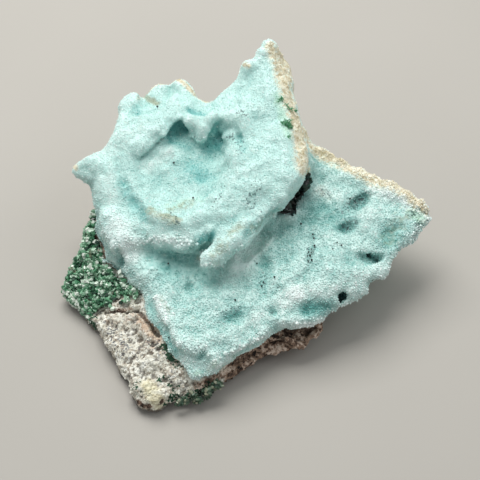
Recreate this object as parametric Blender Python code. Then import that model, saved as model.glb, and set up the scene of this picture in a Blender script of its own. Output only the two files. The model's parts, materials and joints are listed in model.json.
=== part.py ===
"""Chrysocolla with malachite: a blue-green crust in two stepped plates on a broken piece of host rock.

+X is to the right, +Y away from the front edge, +Z up. The origin is on the ground, under the flat
patch that the rock rests on. Shapes are laid out in millimetres and scaled to metres at the end.
An edge is a closed outline in plan, as (x, y). A surface is a few spot heights, as (x, y, z).
"""

import math
import random

import bmesh
import bpy
import numpy as np
from mathutils import Matrix, Vector, noise

SEED = 2008
GAP = 0.3  # left between two minerals that touch
CORNER_LIMIT = 1.6  # how many times the gap a sharp corner may swell
SHEET_PITCH = 1.5  # of the grid that a slab's faces are cut to
ROCK_PITCH = 2.0
HIDDEN_PITCH = 3.0
CRUST_VOXEL = 0.55
ROCK_VOXEL = 0.8
CLUSTER_VOXEL = 0.35
CRUST_TRIANGLES = 4500
ROCK_TRIANGLES = 2000
CLUSTER_TRIANGLES = 120
CRUST_LUMPS = [(6.0, 0.6), (3.0, 0.45), (1.6, 0.3)]  # (size, height)
ROCK_LUMPS = [(7.0, 0.9), (3.0, 0.4)]
ROCK_PATCH = 5.5  # across one flat break face
ROCK_PATCH_TILT = 0.22
LUMP_START = Vector((68.0, 50.0, 16.0))  # where in the noise field the lumps are taken
PATCH_START = Vector((20.0, 65.0, 56.0))
PATCH_SPREAD = 3.7  # parts the patches' own random leans

# Base colour and roughness of each mineral.
ROCK_LOOK = ((0.50, 0.46, 0.38), 0.9)
CRUST_LOOK = ((0.48, 0.78, 0.74), 0.5)
MALACHITE_LOOK = ((0.03, 0.16, 0.09), 0.4)
TUFT_LOOK = ((0.02, 0.07, 0.04), 0.4)
FRONT_PATCH_LOOK = ((0.03, 0.12, 0.07), 0.4)

# The lower plate is a thin sheet that reaches out to the right.
SHEET_EDGE = [
    (-24.5, 0.0), (-21.0, -3.0), (-18.0, -7.0), (-15.5, -10.0), (-15.0, -12.5), (-14.5, -15.5), (-12.5, -17.0),
    (-11.5, -20.0), (-10.0, -22.0), (-8.5, -22.5), (-7.0, -22.0), (-6.0, -22.0), (-5.0, -24.0), (-3.0, -23.5),
    (0.0, -21.5), (4.0, -18.5), (7.5, -16.0), (10.0, -16.0), (13.0, -15.5), (16.5, -13.5), (19.5, -11.0),
    (21.5, -10.5), (23.0, -9.5), (24.0, -7.5), (25.5, -7.0), (27.0, -5.5), (27.0, -4.0), (29.0, -1.0),
    (31.5, 1.0), (33.0, 3.5), (34.0, 5.5), (33.0, 7.5), (30.0, 10.0), (25.0, 13.5), (20.0, 17.5), (15.5, 20.0),
    (12.5, 22.5), (6.0, 24.0), (-4.0, 22.0), (-14.0, 18.0), (-20.0, 14.0), (-25.0, 8.0),
]
SHEET_TOP = [
    # left edge
    (-24.5, 0.0, 12.0), (-21.5, -4.0, 11.0), (-18.5, -7.5, 10.6), (-15.0, -11.0, 10.3), (-14.5, -15.5, 10.1),
    (-11.5, -20.0, 9.5), (-8.5, -22.5, 9.0), (-4.0, -24.0, 8.3),
    # front edge, rising to the right tip
    (0.0, -21.5, 8.1), (4.0, -18.5, 8.5), (7.5, -16.0, 9.1), (13.0, -15.5, 9.4), (16.5, -13.5, 9.7),
    (19.5, -11.0, 10.1), (23.0, -9.5, 10.4), (27.0, -5.0, 11.1), (29.0, -1.0, 11.8), (31.5, 1.0, 12.2),
    (34.0, 5.5, 12.7),
    # back edge
    (33.0, 7.5, 13.3), (30.0, 10.0, 14.2), (25.0, 13.5, 14.8), (20.0, 17.5, 15.0), (15.5, 20.0, 15.0),
    (13.0, 22.5, 15.2),
    # the valley under the ledge
    (-13.5, -3.0, 10.8), (-10.0, -2.5, 10.5), (-6.5, -5.5, 9.6), (-1.0, -3.5, 10.5), (2.5, -0.5, 11.0),
    (6.5, 3.5, 11.5), (9.0, 5.5, 11.9), (12.0, 9.0, 12.3), (14.5, 11.5, 12.8),
    # the low left half
    (-10.5, -9.5, 9.9), (-12.5, -14.0, 10.0), (-9.5, -18.0, 9.6), (-4.5, -18.0, 9.4), (0.0, -17.0, 9.2),
    (-2.5, -21.0, 8.8), (-4.5, -12.0, 9.9), (2.0, -10.0, 10.1), (5.5, -12.5, 10.2),
    # the swell towards the right tip
    (7.0, -6.0, 11.0), (12.5, -1.0, 12.1), (17.0, 2.0, 12.8), (20.0, 5.0, 13.2), (23.5, 8.0, 13.7),
    (18.5, 12.0, 13.5), (27.0, 5.0, 13.5), (30.0, 3.0, 13.0), (18.5, -7.0, 12.1), (14.0, -9.0, 11.8),
    (9.0, -10.5, 11.1), (10.5, -12.5, 9.9), (17.5, -10.0, 11.0),
    # the trough near the right edge
    (28.0, 0.5, 11.9), (26.0, -1.5, 11.4), (22.5, -4.5, 11.3),
    # under the upper plate
    (3.0, 20.0, 15.5), (-10.0, 14.0, 14.0), (-22.0, 9.0, 13.0),
]
SHEET_UNDER = [
    (-25.0, 0.0, 6.5), (-24.0, 8.0, 7.5), (-13.0, -18.0, 4.4), (-6.0, -24.0, 4.4), (4.0, -19.0, 5.2),
    (13.0, -15.5, 6.6), (16.5, -13.5, 7.4), (19.5, -11.0, 7.9), (23.0, -9.5, 8.2), (27.0, -5.0, 8.9),
    (31.5, 1.0, 10.1), (34.0, 5.5, 10.8), (33.0, 7.5, 11.0), (25.0, 13.5, 11.2), (15.5, 20.0, 10.6),
    (13.0, 22.5, 10.4), (20.0, 4.0, 7.8), (27.0, 4.0, 9.2), (14.0, -4.0, 5.8), (0.0, 0.0, 5.0),
    (-10.0, -8.0, 4.6), (0.0, 16.0, 8.0), (-14.0, 14.0, 8.0), (22.0, 9.0, 9.2),
]

# A lower strip runs beside the sheet, one step down, along its left and front edge.
STRIP_EDGE = [
    (-25.0, 0.5), (-23.5, -3.0), (-21.5, -4.0), (-19.0, -7.0), (-17.0, -9.5), (-16.5, -14.5), (-15.0, -16.5),
    (-14.0, -18.5), (-12.0, -22.0), (-10.0, -24.0), (-9.0, -26.0), (-7.5, -26.5), (-5.5, -25.5), (-4.0, -24.5),
    (0.0, -21.0), (8.0, -15.0), (16.0, -12.0), (10.0, 0.0), (-8.0, 4.0), (-20.0, 5.0),
]
STRIP_DROP = 1.9

# The upper plate is thick, leans up to the back and ends there in a spire.
PLATE_EDGE = [
    # right side, from the front corner to the spire
    (11.5, 9.0), (12.0, 10.5), (12.0, 12.0), (12.5, 16.0), (11.5, 19.0), (11.0, 24.0), (10.0, 28.0),
    (9.5, 29.5), (9.5, 33.0), (8.5, 34.5), (7.0, 36.0), (5.5, 36.0), (4.5, 35.0), (3.0, 33.0), (2.0, 32.0), (0.5, 32.5),
    (0.0, 31.0), (-1.0, 29.5), (-3.5, 28.0),
    # the notch and the three knobs at the back left
    (-5.5, 26.5), (-7.5, 27.0), (-8.5, 29.0), (-9.5, 30.5), (-11.0, 31.5), (-12.5, 31.0), (-13.5, 30.5),
    (-14.5, 31.0), (-16.0, 30.5), (-17.5, 29.0), (-18.5, 29.0), (-20.5, 29.5), (-21.5, 28.0), (-22.5, 26.0),
    # left side with its spike
    (-22.0, 24.0), (-22.5, 21.0), (-24.0, 17.5), (-26.0, 16.0), (-28.5, 15.0), (-30.5, 14.0), (-30.5, 12.5),
    (-28.5, 11.0), (-27.0, 10.0), (-27.0, 8.5), (-26.0, 6.5), (-25.0, 4.0), (-24.0, 0.5),
    # front ledge with its finger
    (-21.0, -1.5), (-16.5, -2.0), (-15.0, -2.5), (-12.5, -3.0), (-10.5, -4.0), (-8.5, -4.0), (-7.0, -3.0),
    (-6.0, -1.0), (-4.5, -1.0), (-4.0, -2.5), (-5.5, -4.5), (-7.0, -5.5), (-6.5, -7.0), (-5.0, -7.5),
    (-3.5, -6.5), (0.5, -4.0), (3.0, -1.5), (4.0, 0.0), (5.5, 2.0), (7.5, 3.0), (9.0, 5.5), (10.5, 7.5),
]
PLATE_TOP = [
    # left spike and the shoulder behind it
    (-30.5, 13.5, 17.0), (-26.5, 13.5, 18.4), (-23.5, 16.0, 19.8), (-22.0, 19.0, 20.8), (-19.5, 21.0, 21.5),
    (-16.5, 22.5, 22.0), (-14.0, 24.0, 22.4), (-11.0, 25.5, 22.4),
    # knobs and the dips between them
    (-20.0, 27.0, 20.6), (-17.0, 27.5, 19.8), (-15.5, 29.0, 21.3), (-13.5, 28.0, 21.2), (-11.0, 29.5, 22.0),
    (-6.5, 25.5, 21.7),
    # up to the spire
    (-3.5, 25.5, 22.4), (0.0, 28.0, 23.4), (3.5, 30.0, 24.8), (6.0, 29.5, 25.6), (5.5, 34.5, 26.8),
    (7.5, 33.5, 25.0), (7.0, 36.0, 25.6),
    # crest along the right side, and the broken slope beside it
    (7.5, 24.5, 24.6), (8.5, 20.0, 23.6), (9.0, 16.0, 22.7), (10.0, 12.0, 21.7), (11.5, 8.5, 20.3),
    (9.5, 29.5, 22.8), (10.0, 32.5, 23.0), (11.0, 24.0, 21.6), (11.5, 19.0, 21.0), (12.5, 16.0, 20.2),
    (12.5, 11.5, 19.6), (13.0, 7.5, 19.3),
    # the plain face between the crest and the bowl
    (4.5, 19.5, 22.7), (4.0, 13.5, 21.2), (7.0, 9.0, 20.7), (8.0, 5.0, 19.5), (1.0, 21.5, 22.8),
    # rim of the bowl
    (1.0, 17.5, 22.4), (0.0, 13.5, 21.5), (-1.0, 8.5, 20.3), (-3.0, 4.5, 19.0), (-5.5, 1.5, 17.9),
    (-9.5, -0.5, 17.0), (-14.0, -1.0, 15.9), (-17.5, 3.5, 16.6), (-19.5, 7.0, 17.3), (-20.0, 11.0, 18.0),
    (-19.5, 14.5, 19.6), (-17.0, 18.5, 21.2), (-13.0, 20.0, 22.0),
    # front lip and finger
    (8.0, 2.5, 18.0), (4.0, 1.5, 17.4), (1.0, -0.5, 16.9), (-1.0, -3.5, 16.0), (-3.5, -1.0, 16.6),
    (-8.0, -3.0, 15.6), (-10.5, -3.5, 15.1), (-13.5, -2.5, 14.9), (-16.0, -2.0, 14.0), (-5.5, -6.0, 14.4),
    # groove left of the bowl, and the swell outside it
    (-22.0, 8.5, 16.9), (-21.0, 6.0, 16.0), (-20.0, 4.0, 15.5), (-18.5, 2.0, 15.0), (-17.0, 0.5, 14.9),
    (-23.5, 10.5, 18.0), (-24.0, 7.5, 17.3), (-23.0, 4.5, 16.6), (-22.0, 1.5, 15.6), (-21.0, -1.0, 14.3),
    # left edge
    (-26.5, 8.5, 15.2), (-25.5, 5.5, 14.2), (-24.0, 1.0, 12.6),
]
PLATE_UNDER = [
    (12.0, 10.5, 17.2), (10.0, 6.5, 16.4), (8.0, 3.5, 15.4), (4.0, 1.5, 14.0), (1.0, -0.5, 13.5),
    (-3.5, -1.0, 13.0), (-8.0, -3.0, 12.3), (-10.5, -3.5, 12.2), (-13.5, -2.5, 12.0), (-16.0, -2.0, 11.0),
    (-5.5, -6.0, 12.2), (-24.0, 0.5, 9.0), (-26.5, 8.5, 11.0), (-30.5, 13.5, 14.8), (-26.5, 15.5, 15.5),
    (-22.5, 21.0, 16.5), (-22.0, 28.0, 17.6), (-15.5, 30.5, 17.8), (-11.0, 31.0, 18.6), (-6.5, 27.0, 17.6), (0.0, 31.0, 20.4), (5.5, 35.5, 24.2),
    (9.5, 30.0, 19.6), (10.5, 24.0, 17.0), (12.5, 16.0, 14.0), (-8.0, 10.0, 11.0), (0.0, 14.0, 12.0),
]

# The stem joins the upper plate to the sheet and the rock; the side fills its broken right flank.
STEM_EDGE = [
    (-25.0, 1.0), (-17.0, -1.0), (-12.0, -2.0), (-7.5, -2.0), (-4.0, 0.5), (1.0, 0.5), (5.0, 3.5), (7.0, 6.5),
    (9.0, 10.0), (11.0, 16.0), (9.0, 22.0), (-2.0, 24.0), (-12.0, 26.0), (-20.0, 24.0), (-23.0, 16.0),
    (-26.5, 8.5),
]
STEM_COVER = 1.4  # of plate above the stem
STEM_ROOT = 1.2  # below the top of the rock
SIDE_EDGE = [
    (8.5, 12.0), (12.0, 12.0), (13.0, 14.0), (14.0, 17.0), (13.0, 21.0), (11.5, 25.0), (8.5, 25.5), (7.5, 16.0),
]
SIDE_TOP = 16.5
SIDE_BOTTOM = 10.0
SIDE_COVER = 3.0

# Knobs, spikes and drips, each as a start, an end and the radii there.
LIMBS = [
    ((-18.5, 25.0, 19.2), (-20.5, 27.5, 19.4), 1.9, 1.6),
    ((-14.0, 26.5, 19.8), (-15.0, 29.0, 20.0), 1.7, 1.3),
    ((-10.5, 27.0, 20.2), (-11.0, 30.0, 20.6), 1.8, 1.4),
    ((-25.0, 13.5, 16.8), (-30.5, 13.5, 16.2), 1.8, 0.9),
    ((3.0, 30.0, 23.2), (1.0, 32.0, 23.6), 1.4, 0.9),
    ((6.0, 31.0, 24.0), (5.5, 36.0, 26.6), 1.8, 1.0),
    ((3.0, 1.0, 15.8), (-0.5, -2.5, 15.0), 1.6, 1.5),
    ((-0.5, -2.5, 15.0), (-5.5, -6.0, 13.6), 1.7, 1.6),
    ((9.5, 9.0, 18.4), (11.5, 10.5, 18.6), 1.3, 0.9),
    ((-9.0, -2.0, 14.2), (-10.5, -4.0, 13.7), 1.5, 1.2),
    ((-24.0, 3.5, 14.6), (-22.5, -1.5, 12.4), 1.9, 1.6),
]

# The bowl in the upper plate has a steep back wall, two recesses under it and a tongue between them.
BOWL_EDGE = [
    (-19.0, 13.5), (-17.5, 15.0), (-16.0, 16.5), (-13.5, 18.5), (-12.0, 20.0), (-11.0, 21.0), (-9.5, 20.5),
    (-8.5, 20.0), (-7.0, 20.0), (-5.5, 20.5), (-4.0, 21.0), (-2.0, 20.5), (-0.5, 19.0), (0.0, 16.5),
    (-0.5, 14.5), (-1.5, 12.0), (-2.0, 9.5), (-3.0, 6.5), (-4.0, 4.0), (-6.0, 2.5), (-8.5, 1.0), (-11.0, 0.5),
    (-13.5, 1.0), (-15.5, 3.0), (-17.5, 5.0), (-18.5, 8.0), (-19.0, 11.0),
]
BOWL_FLOOR = [
    # middle
    (-11.0, 13.5, 17.0), (-14.5, 12.5, 16.8), (-7.5, 13.5, 17.0), (-10.0, 9.0, 16.5), (-13.5, 7.0, 16.0),
    (-6.5, 9.0, 16.7),
    # along the back wall
    (-16.5, 14.5, 17.1), (-14.0, 17.5, 17.9), (-10.5, 19.5, 18.6), (-7.5, 19.5, 18.0), (-6.5, 17.0, 17.4),
    (-4.5, 19.5, 17.5),
    # up the right wall
    (-3.5, 15.5, 17.3), (-3.5, 11.5, 17.9), (-1.5, 20.0, 20.4), (-0.5, 16.0, 20.6), (-1.5, 12.0, 20.0),
    # front and left rim
    (-4.5, 7.0, 17.5), (-7.0, 4.0, 17.0), (-8.5, 1.0, 17.2), (-10.5, 2.5, 16.5), (-12.5, 1.0, 16.3),
    (-13.5, 3.0, 16.1), (-16.0, 4.5, 16.0), (-17.5, 8.0, 16.2), (-18.5, 12.0, 17.0),
]
BOWL_MOUTH = 34.0
BOWL_RECESSES = [((-10.5, 20.0, 19.7), (1.8, 1.6, 1.1)), ((-4.0, 19.0, 18.8), (1.8, 2.4, 1.6))]
BOWL_LIMBS = [
    ((-7.5, 21.0, 20.8), (-7.0, 18.0, 19.4), 1.6, 1.1),
    ((-14.5, 19.5, 19.8), (-15.0, 17.0, 18.2), 1.2, 0.9),
    ((-0.5, 13.0, 20.2), (-3.0, 12.5, 18.4), 1.3, 0.9),
]

# Hollows in the sheet: middle, half-lengths, turn in degrees and depth.
PITS = [
    ((22.0, 8.0), (3.0, 1.6), 38.0, 1.7),
    ((19.0, 2.5), (1.8, 1.4), 10.0, 1.3),
    ((23.5, -3.5), (2.8, 1.6), 30.0, 1.7),
    ((18.0, -11.0), (1.5, 1.4), 0.0, 2.2),
    ((-0.5, -15.5), (2.6, 1.8), 20.0, 1.0),
    ((-9.0, -9.0), (1.8, 1.4), 0.0, 0.9),
    ((6.0, -14.0), (1.9, 1.3), 35.0, 1.1),
    ((23.5, -8.5), (1.4, 1.6), 0.0, 1.8),
]
PIT_REACH = 1.6  # how far from the sheet's surface a pit still presses

# The host rock carries both plates and shows at the front left and under the front edge.
ROCK_EDGE = [
    # left side
    (-25.0, -12.5), (-27.0, -11.0), (-29.5, -8.5), (-31.5, -6.0), (-31.5, -3.5), (-30.5, -1.5), (-28.5, 2.5),
    (-27.5, 6.0), (-27.0, 11.0),
    # back
    (-25.0, 17.5), (-18.0, 24.0), (-8.0, 27.5), (2.0, 27.5), (9.0, 24.0), (12.5, 18.5),
    # right side, hidden under the sheet
    (14.0, 11.5), (13.5, 4.0), (15.0, -4.0), (14.5, -11.0), (14.0, -15.0),
    # front
    (13.0, -16.5), (11.0, -18.0), (9.0, -18.0), (7.0, -18.0), (4.5, -19.0), (3.0, -20.0), (0.5, -21.5),
    (-2.5, -24.0), (-4.5, -25.5), (-7.0, -27.5), (-10.0, -29.0), (-14.0, -29.5), (-17.0, -29.5), (-19.0, -27.0),
    (-21.0, -23.0), (-23.0, -18.5), (-24.0, -15.5),
]
ROCK_TOP = [
    # bare face, beside the crust and out to its edge
    (-17.0, -8.0, 7.5), (-16.0, -12.0, 6.9), (-15.0, -16.0, 6.3), (-13.0, -19.0, 5.8), (-10.5, -22.5, 5.2),
    (-8.5, -25.5, 4.7), (-20.5, -17.0, 4.8), (-17.5, -21.5, 4.7), (-15.5, -26.0, 3.8), (-18.5, -13.5, 6.0),
    (-19.5, -11.0, 6.5), (-14.0, -28.5, 2.8), (-10.5, -27.0, 3.4), (-7.0, -26.5, 3.8), (-25.0, -12.5, 3.8),
    (-23.5, -17.0, 3.0), (-22.5, -19.5, 2.8), (-20.5, -23.5, 2.3), (-18.5, -28.0, 1.9), (-16.5, -29.5, 1.6),
    (-14.0, -30.0, 1.6), (-10.5, -29.0, 2.0),
    # under the malachite crystals
    (-19.5, -7.5, 6.3), (-22.5, -3.5, 6.4), (-24.5, 0.0, 7.0), (-26.5, 3.0, 6.4), (-29.0, -1.0, 4.0),
    (-31.0, -4.5, 2.6), (-29.0, -7.5, 2.4), (-26.0, -10.5, 3.1), (-23.5, -9.0, 4.4), (-26.5, 9.0, 8.8),
    # under the sheet
    (-20.0, 4.0, 9.2), (-12.0, -4.0, 6.6), (-4.0, -6.0, 6.6), (4.0, -6.0, 7.0), (-6.0, -16.0, 6.0),
    (2.0, -16.0, 6.0), (8.0, -14.0, 6.3), (12.0, -17.5, 5.0), (9.0, -18.0, 5.0), (13.0, -6.0, 7.6),
    (13.5, 2.0, 8.6), (8.0, 4.0, 8.4),
    # hump under the upper plate
    (-2.0, 6.0, 9.4), (-12.0, 8.0, 10.2), (-20.0, 12.0, 11.2), (-26.0, 15.0, 12.0), (-16.0, 18.0, 12.0),
    (-6.0, 18.0, 11.0), (4.0, 16.0, 11.6), (12.0, 14.0, 10.2), (6.0, 24.0, 13.6), (-6.0, 26.0, 14.6),
    (-16.0, 25.0, 14.4), (-22.0, 20.0, 13.2),
]
ROCK_UNDER = [
    (-31.0, -4.5, 0.0), (-28.0, 4.0, 1.2), (-26.0, 12.0, 2.8), (-18.0, 24.0, 3.4), (-6.0, 27.5, 3.6),
    (8.0, 24.0, 3.4), (13.0, 14.0, 3.0), (14.5, -4.0, 2.6), (13.0, -16.5, 2.8), (7.0, -18.0, 2.4),
    (0.5, -21.5, 1.6), (-7.0, -27.5, 0.6), (-16.0, -30.0, 0.4), (-21.0, -23.0, 0.6), (-25.0, -12.5, 0.6),
    (0.0, 0.0, 0.0), (-14.0, 4.0, 0.0), (-2.0, 14.0, 0.4), (6.0, -6.0, 0.0),
]
ROCK_THINNEST = 0.8
FOOT_EDGE = [
    (-29.5, -5.0), (-27.5, -9.0), (-23.0, -13.5), (-22.0, -18.5), (-19.5, -23.5), (-17.5, -27.5), (-14.0, -28.0),
    (-9.5, -26.5), (-6.0, -24.0), (-1.0, -19.5), (4.0, -16.5), (9.0, -15.0), (11.0, -10.5), (12.5, -4.0),
    (11.0, 3.0), (12.0, 10.0), (8.0, 17.0), (2.5, 22.0), (-4.0, 22.0), (-10.0, 24.5), (-16.0, 20.5),
    (-21.5, 17.0), (-23.0, 9.5), (-26.5, 2.5),
]
FOOT_TOP = 6.0
FOOT_COVER = 1.2
GROUND_CUT = 1.5  # trimmed off below the ground, which leaves the flat patch
GROUND_SIZE = (120.0, 120.0, 20.0)

# The malachite lies as a crust of crystals on the rock's left shoulder.
MALACHITE_EDGE = [
    (-27.5, 9.0), (-28.5, 5.0), (-29.5, 1.5), (-31.0, -1.5), (-32.0, -4.0), (-32.0, -6.0), (-30.0, -8.5),
    (-28.0, -11.0), (-26.0, -12.5), (-24.0, -12.0), (-22.0, -10.5), (-20.0, -10.0), (-17.5, -9.5),
    (-16.5, -8.5), (-17.0, -6.0), (-19.0, -4.5), (-21.0, -1.5), (-23.0, 0.5), (-24.5, 4.0), (-25.0, 8.0),
]
MALACHITE_TOP = [
    (-27.0, 8.5, 9.8), (-28.0, 4.5, 8.7), (-29.0, 2.0, 7.7), (-31.0, -1.5, 6.4), (-32.0, -4.0, 4.6),
    (-31.5, -6.0, 4.2), (-29.5, -8.5, 4.0), (-27.5, -10.5, 3.9), (-25.5, -12.0, 4.2), (-24.0, -11.5, 5.0),
    (-22.0, -10.0, 6.0), (-20.0, -9.0, 6.9), (-17.5, -9.0, 7.6), (-16.5, -8.0, 8.0), (-19.0, -5.5, 8.4),
    (-21.5, -3.0, 8.8), (-23.5, 0.0, 9.4), (-25.0, 4.0, 9.9), (-25.5, 7.0, 10.2), (-27.0, -3.0, 6.8),
    (-25.0, -6.5, 6.2), (-29.0, -4.5, 5.4),
]
MALACHITE_COVER = (0.9, 2.8)  # from the crystals' level down to the top and the bottom of their bed
MALACHITE_PITCH = 1.75
MALACHITE_WIDTHS = (1.2, 1.9)
MALACHITE_LENGTHS = (1.7, 2.6)
MALACHITE_LEAN = 0.75
MALACHITE_SHIFT = 0.5  # of a crystal from its place in the grid
MALACHITE_ROOT = 1.5  # from the crystals' level down to where they start

# A crystal's proportions: half its depth and its sunk root by its width, its shoulder by its length.
CRYSTAL_DEPTH = 0.36
CRYSTAL_ROOT = 0.7
CRYSTAL_SHOULDER = 0.55

# Two small clusters: dark crystals in the gap between the plates, and a dusting on the front of the rock.
TUFT = {
    "spots": [
        (12.0, 11.0, 15.2), (11.5, 10.0, 15.0), (11.0, 8.5, 14.6), (10.0, 7.0, 14.2), (9.5, 6.0, 13.8),
        (8.5, 5.0, 13.2),
    ],
    "widths": (1.1, 1.6),
    "lengths": (1.8, 2.8),
    "lean": 0.7,
    "facing": (0.5, -0.5, 0.1),
}
FRONT_PATCH = {
    "spots": [
        (-11.0, -28.5, 2.0), (-9.5, -28.0, 2.2), (-8.0, -27.0, 2.6), (-6.5, -26.5, 3.0), (-5.0, -26.0, 3.2),
        (-4.0, -25.5, 3.4), (-7.5, -28.0, 1.8), (-6.0, -27.0, 2.2),
    ],
    "widths": (0.9, 1.3),
    "lengths": (1.0, 1.5),
    "lean": 0.8,
    "facing": (0.1, -0.6, 0.4),
}
CLUSTER_ROOT = 0.85  # radius of the root at each spot, by a crystal's width
CLUSTER_SHIFT = 0.4
CRYSTALS_PER_SPOT = 2


def clear_scene():
    for thing in list(bpy.data.objects):
        bpy.data.objects.remove(thing, do_unlink=True)


class SpotSurface:
    """A smooth height surface through spots (x, y, z), bent like a thin plate."""

    def __init__(self, spots, slack=0.4):
        table = np.array(spots, float)
        self.points = table[:, :2]
        count = len(table)
        system = np.zeros((count + 3, count + 3))
        system[:count, :count] = self.bend(self.points) + slack * np.eye(count)
        system[:count, count] = 1.0
        system[:count, count + 1:] = self.points
        system[count, :count] = 1.0
        system[count + 1:, :count] = self.points.T
        self.weights = np.linalg.solve(system, np.concatenate([table[:, 2], np.zeros(3)]))

    def bend(self, places):
        apart = np.linalg.norm(places[:, None, :] - self.points[None, :, :], axis=2)
        return apart ** 2 * np.log(apart + 1e-9)

    def __call__(self, x, y):
        level, slope_x, slope_y = self.weights[-3:]
        bent = self.bend(np.array([[x, y]]))[0] @ self.weights[:-3]
        return float(bent + level + slope_x * x + slope_y * y)


def softened(outline, steps=3):
    """A closed outline with rounded corners, through the same points."""
    smooth = []
    count = len(outline)
    for index in range(count):
        p0, p1, p2, p3 = (Vector(outline[(index + shift) % count]) for shift in (-1, 0, 1, 2))
        for step in range(steps):
            t = step / steps
            line = 2 * p1 + (p2 - p0) * t
            curve = (2 * p0 - 5 * p1 + 4 * p2 - p3) * t ** 2 + (3 * p1 - p0 - 3 * p2 + p3) * t ** 3
            smooth.append((line + curve) / 2)
    return smooth


def inside(outline, x, y):
    """Whether a point is inside a closed outline."""
    hits = 0
    for (ax, ay), (bx, by) in zip(outline, outline[1:] + outline[:1]):
        if (ay > y) != (by > y) and x < ax + (y - ay) * (bx - ax) / (by - ay):
            hits += 1
    return hits % 2 == 1


def add_slab(shape, outline, top, under, pitch):
    """A slab with upright sides between two height surfaces, its faces cut to a grid of the pitch."""
    slab = bmesh.new()
    slab.faces.new([slab.verts.new((point[0], point[1], 0.0)) for point in softened(outline)])
    for axis in (0, 1):
        across = Vector((axis == 0, axis == 1, 0.0))
        low = min(point[axis] for point in outline)
        high = max(point[axis] for point in outline)
        for line in np.arange(low + pitch / 2, high, pitch):
            parts = slab.verts[:] + slab.edges[:] + slab.faces[:]
            bmesh.ops.bisect_plane(slab, geom=parts, dist=1e-5, plane_co=across * float(line), plane_no=across)
    raised = bmesh.ops.extrude_face_region(slab, geom=slab.faces[:], use_keep_orig=True)["geom"]
    upper = {part for part in raised if isinstance(part, bmesh.types.BMVert)}
    for vertex in slab.verts:
        surface = top if vertex in upper else under
        vertex.co.z = surface(vertex.co.x, vertex.co.y)
    bmesh.ops.recalc_face_normals(slab, faces=slab.faces[:])
    twins = {vertex: shape.verts.new(vertex.co) for vertex in slab.verts}
    for face in slab.faces:
        shape.faces.new([twins[vertex] for vertex in face.verts])
    slab.free()


def add_ball(shape, centre, radii):
    place = Matrix.Translation(centre) @ Matrix.Diagonal((*radii, 1.0))
    bmesh.ops.create_icosphere(shape, subdivisions=3, radius=1.0, matrix=place)


def add_limb(shape, start, end, start_radius, end_radius, beads=6):
    """A tapered lump, as a row of balls that run into each other."""
    start, end = Vector(start), Vector(end)
    for bead in range(beads):
        share = bead / (beads - 1)
        radius = start_radius + (end_radius - start_radius) * share
        add_ball(shape, start.lerp(end, share), (radius, radius, radius))


def add_crystal(shape, root, lean, width, length, turn):
    """A flattened four-sided prism with a pointed tip, sunk a little into what it grows from."""
    upright = Vector((0.0, 0.0, 1.0)).rotation_difference(lean).to_matrix().to_4x4()
    place = Matrix.Translation(root) @ upright @ Matrix.Rotation(turn, 4, "Z")
    half = width / 2
    flat = CRYSTAL_DEPTH * width
    corners = [(-half, -flat), (half, -flat), (half, flat), (-half, flat)]
    base, shoulder = [
        [shape.verts.new(place @ Vector((*corner, height))) for corner in corners]
        for height in (-CRYSTAL_ROOT * width, CRYSTAL_SHOULDER * length)
    ]
    tip = shape.verts.new(place @ Vector((0.0, 0.0, length)))
    shape.faces.new(base[::-1])
    for side in range(4):
        after = (side + 1) % 4
        shape.faces.new((base[side], base[after], shoulder[after], shoulder[side]))
        shape.faces.new((shoulder[side], shoulder[after], tip))


def piece_from(shape, name):
    mesh = bpy.data.meshes.new(name)
    shape.to_mesh(mesh)
    shape.free()
    piece = bpy.data.objects.new(name, mesh)
    bpy.context.scene.collection.objects.link(piece)
    return piece


def settle(piece, kind, **settings):
    """Runs one modifier on a piece and keeps its result as the mesh."""
    modifier = piece.modifiers.new(kind.title(), kind)
    for name, value in settings.items():
        setattr(modifier, name, value)
    bpy.context.view_layer.update()
    depsgraph = bpy.context.evaluated_depsgraph_get()
    result = bpy.data.meshes.new_from_object(piece.evaluated_get(depsgraph))
    piece.modifiers.clear()
    piece.data = result
    return piece


def fused(piece, voxel):
    settle(piece, "REMESH", mode="VOXEL", voxel_size=voxel)
    return settle(piece, "SMOOTH", factor=0.5, iterations=2)


def thinned(piece, triangles):
    settle(piece, "TRIANGULATE")
    return settle(piece, "DECIMATE", ratio=min(1.0, triangles / len(piece.data.polygons)))


def body_of(face):
    """The faces that hang together with one face, across edges between just two faces."""
    body = {face}
    frontier = [face]
    while frontier:
        for edge in frontier.pop().edges:
            for neighbour in edge.link_faces:
                if len(edge.link_faces) == 2 and neighbour not in body:
                    body.add(neighbour)
                    frontier.append(neighbour)
    return body


def cleaned(piece):
    """Keeps the largest body of a piece, in triangles."""
    shape = bmesh.new()
    shape.from_mesh(piece.data)
    bmesh.ops.triangulate(shape, faces=shape.faces[:])
    waiting = set(shape.faces)
    largest = set()
    while waiting:
        body = body_of(waiting.pop())
        waiting -= body
        largest = max(largest, body, key=len)
    bmesh.ops.delete(shape, geom=[face for face in shape.faces if face not in largest], context="FACES")
    bmesh.ops.recalc_face_normals(shape, faces=shape.faces[:])
    shape.to_mesh(piece.data)
    shape.free()
    return piece


def combined(piece, other, operation):
    """Joins or cuts a piece with another, which is used up."""
    settle(piece, "BOOLEAN", object=other, operation=operation, solver="EXACT", use_self=True)
    bpy.data.objects.remove(other, do_unlink=True)
    return cleaned(piece)


def cleared(piece, neighbour):
    """Cuts a piece back until it keeps the gap to its neighbour."""
    shape = bmesh.new()
    shape.from_mesh(neighbour.data)
    shape.normal_update()
    moves = [vertex.normal * min(vertex.calc_shell_factor(), CORNER_LIMIT) * GAP for vertex in shape.verts]
    for vertex, move in zip(shape.verts, moves):
        vertex.co += move
    return combined(piece, piece_from(shape, "clearance"), "DIFFERENCE")


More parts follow.
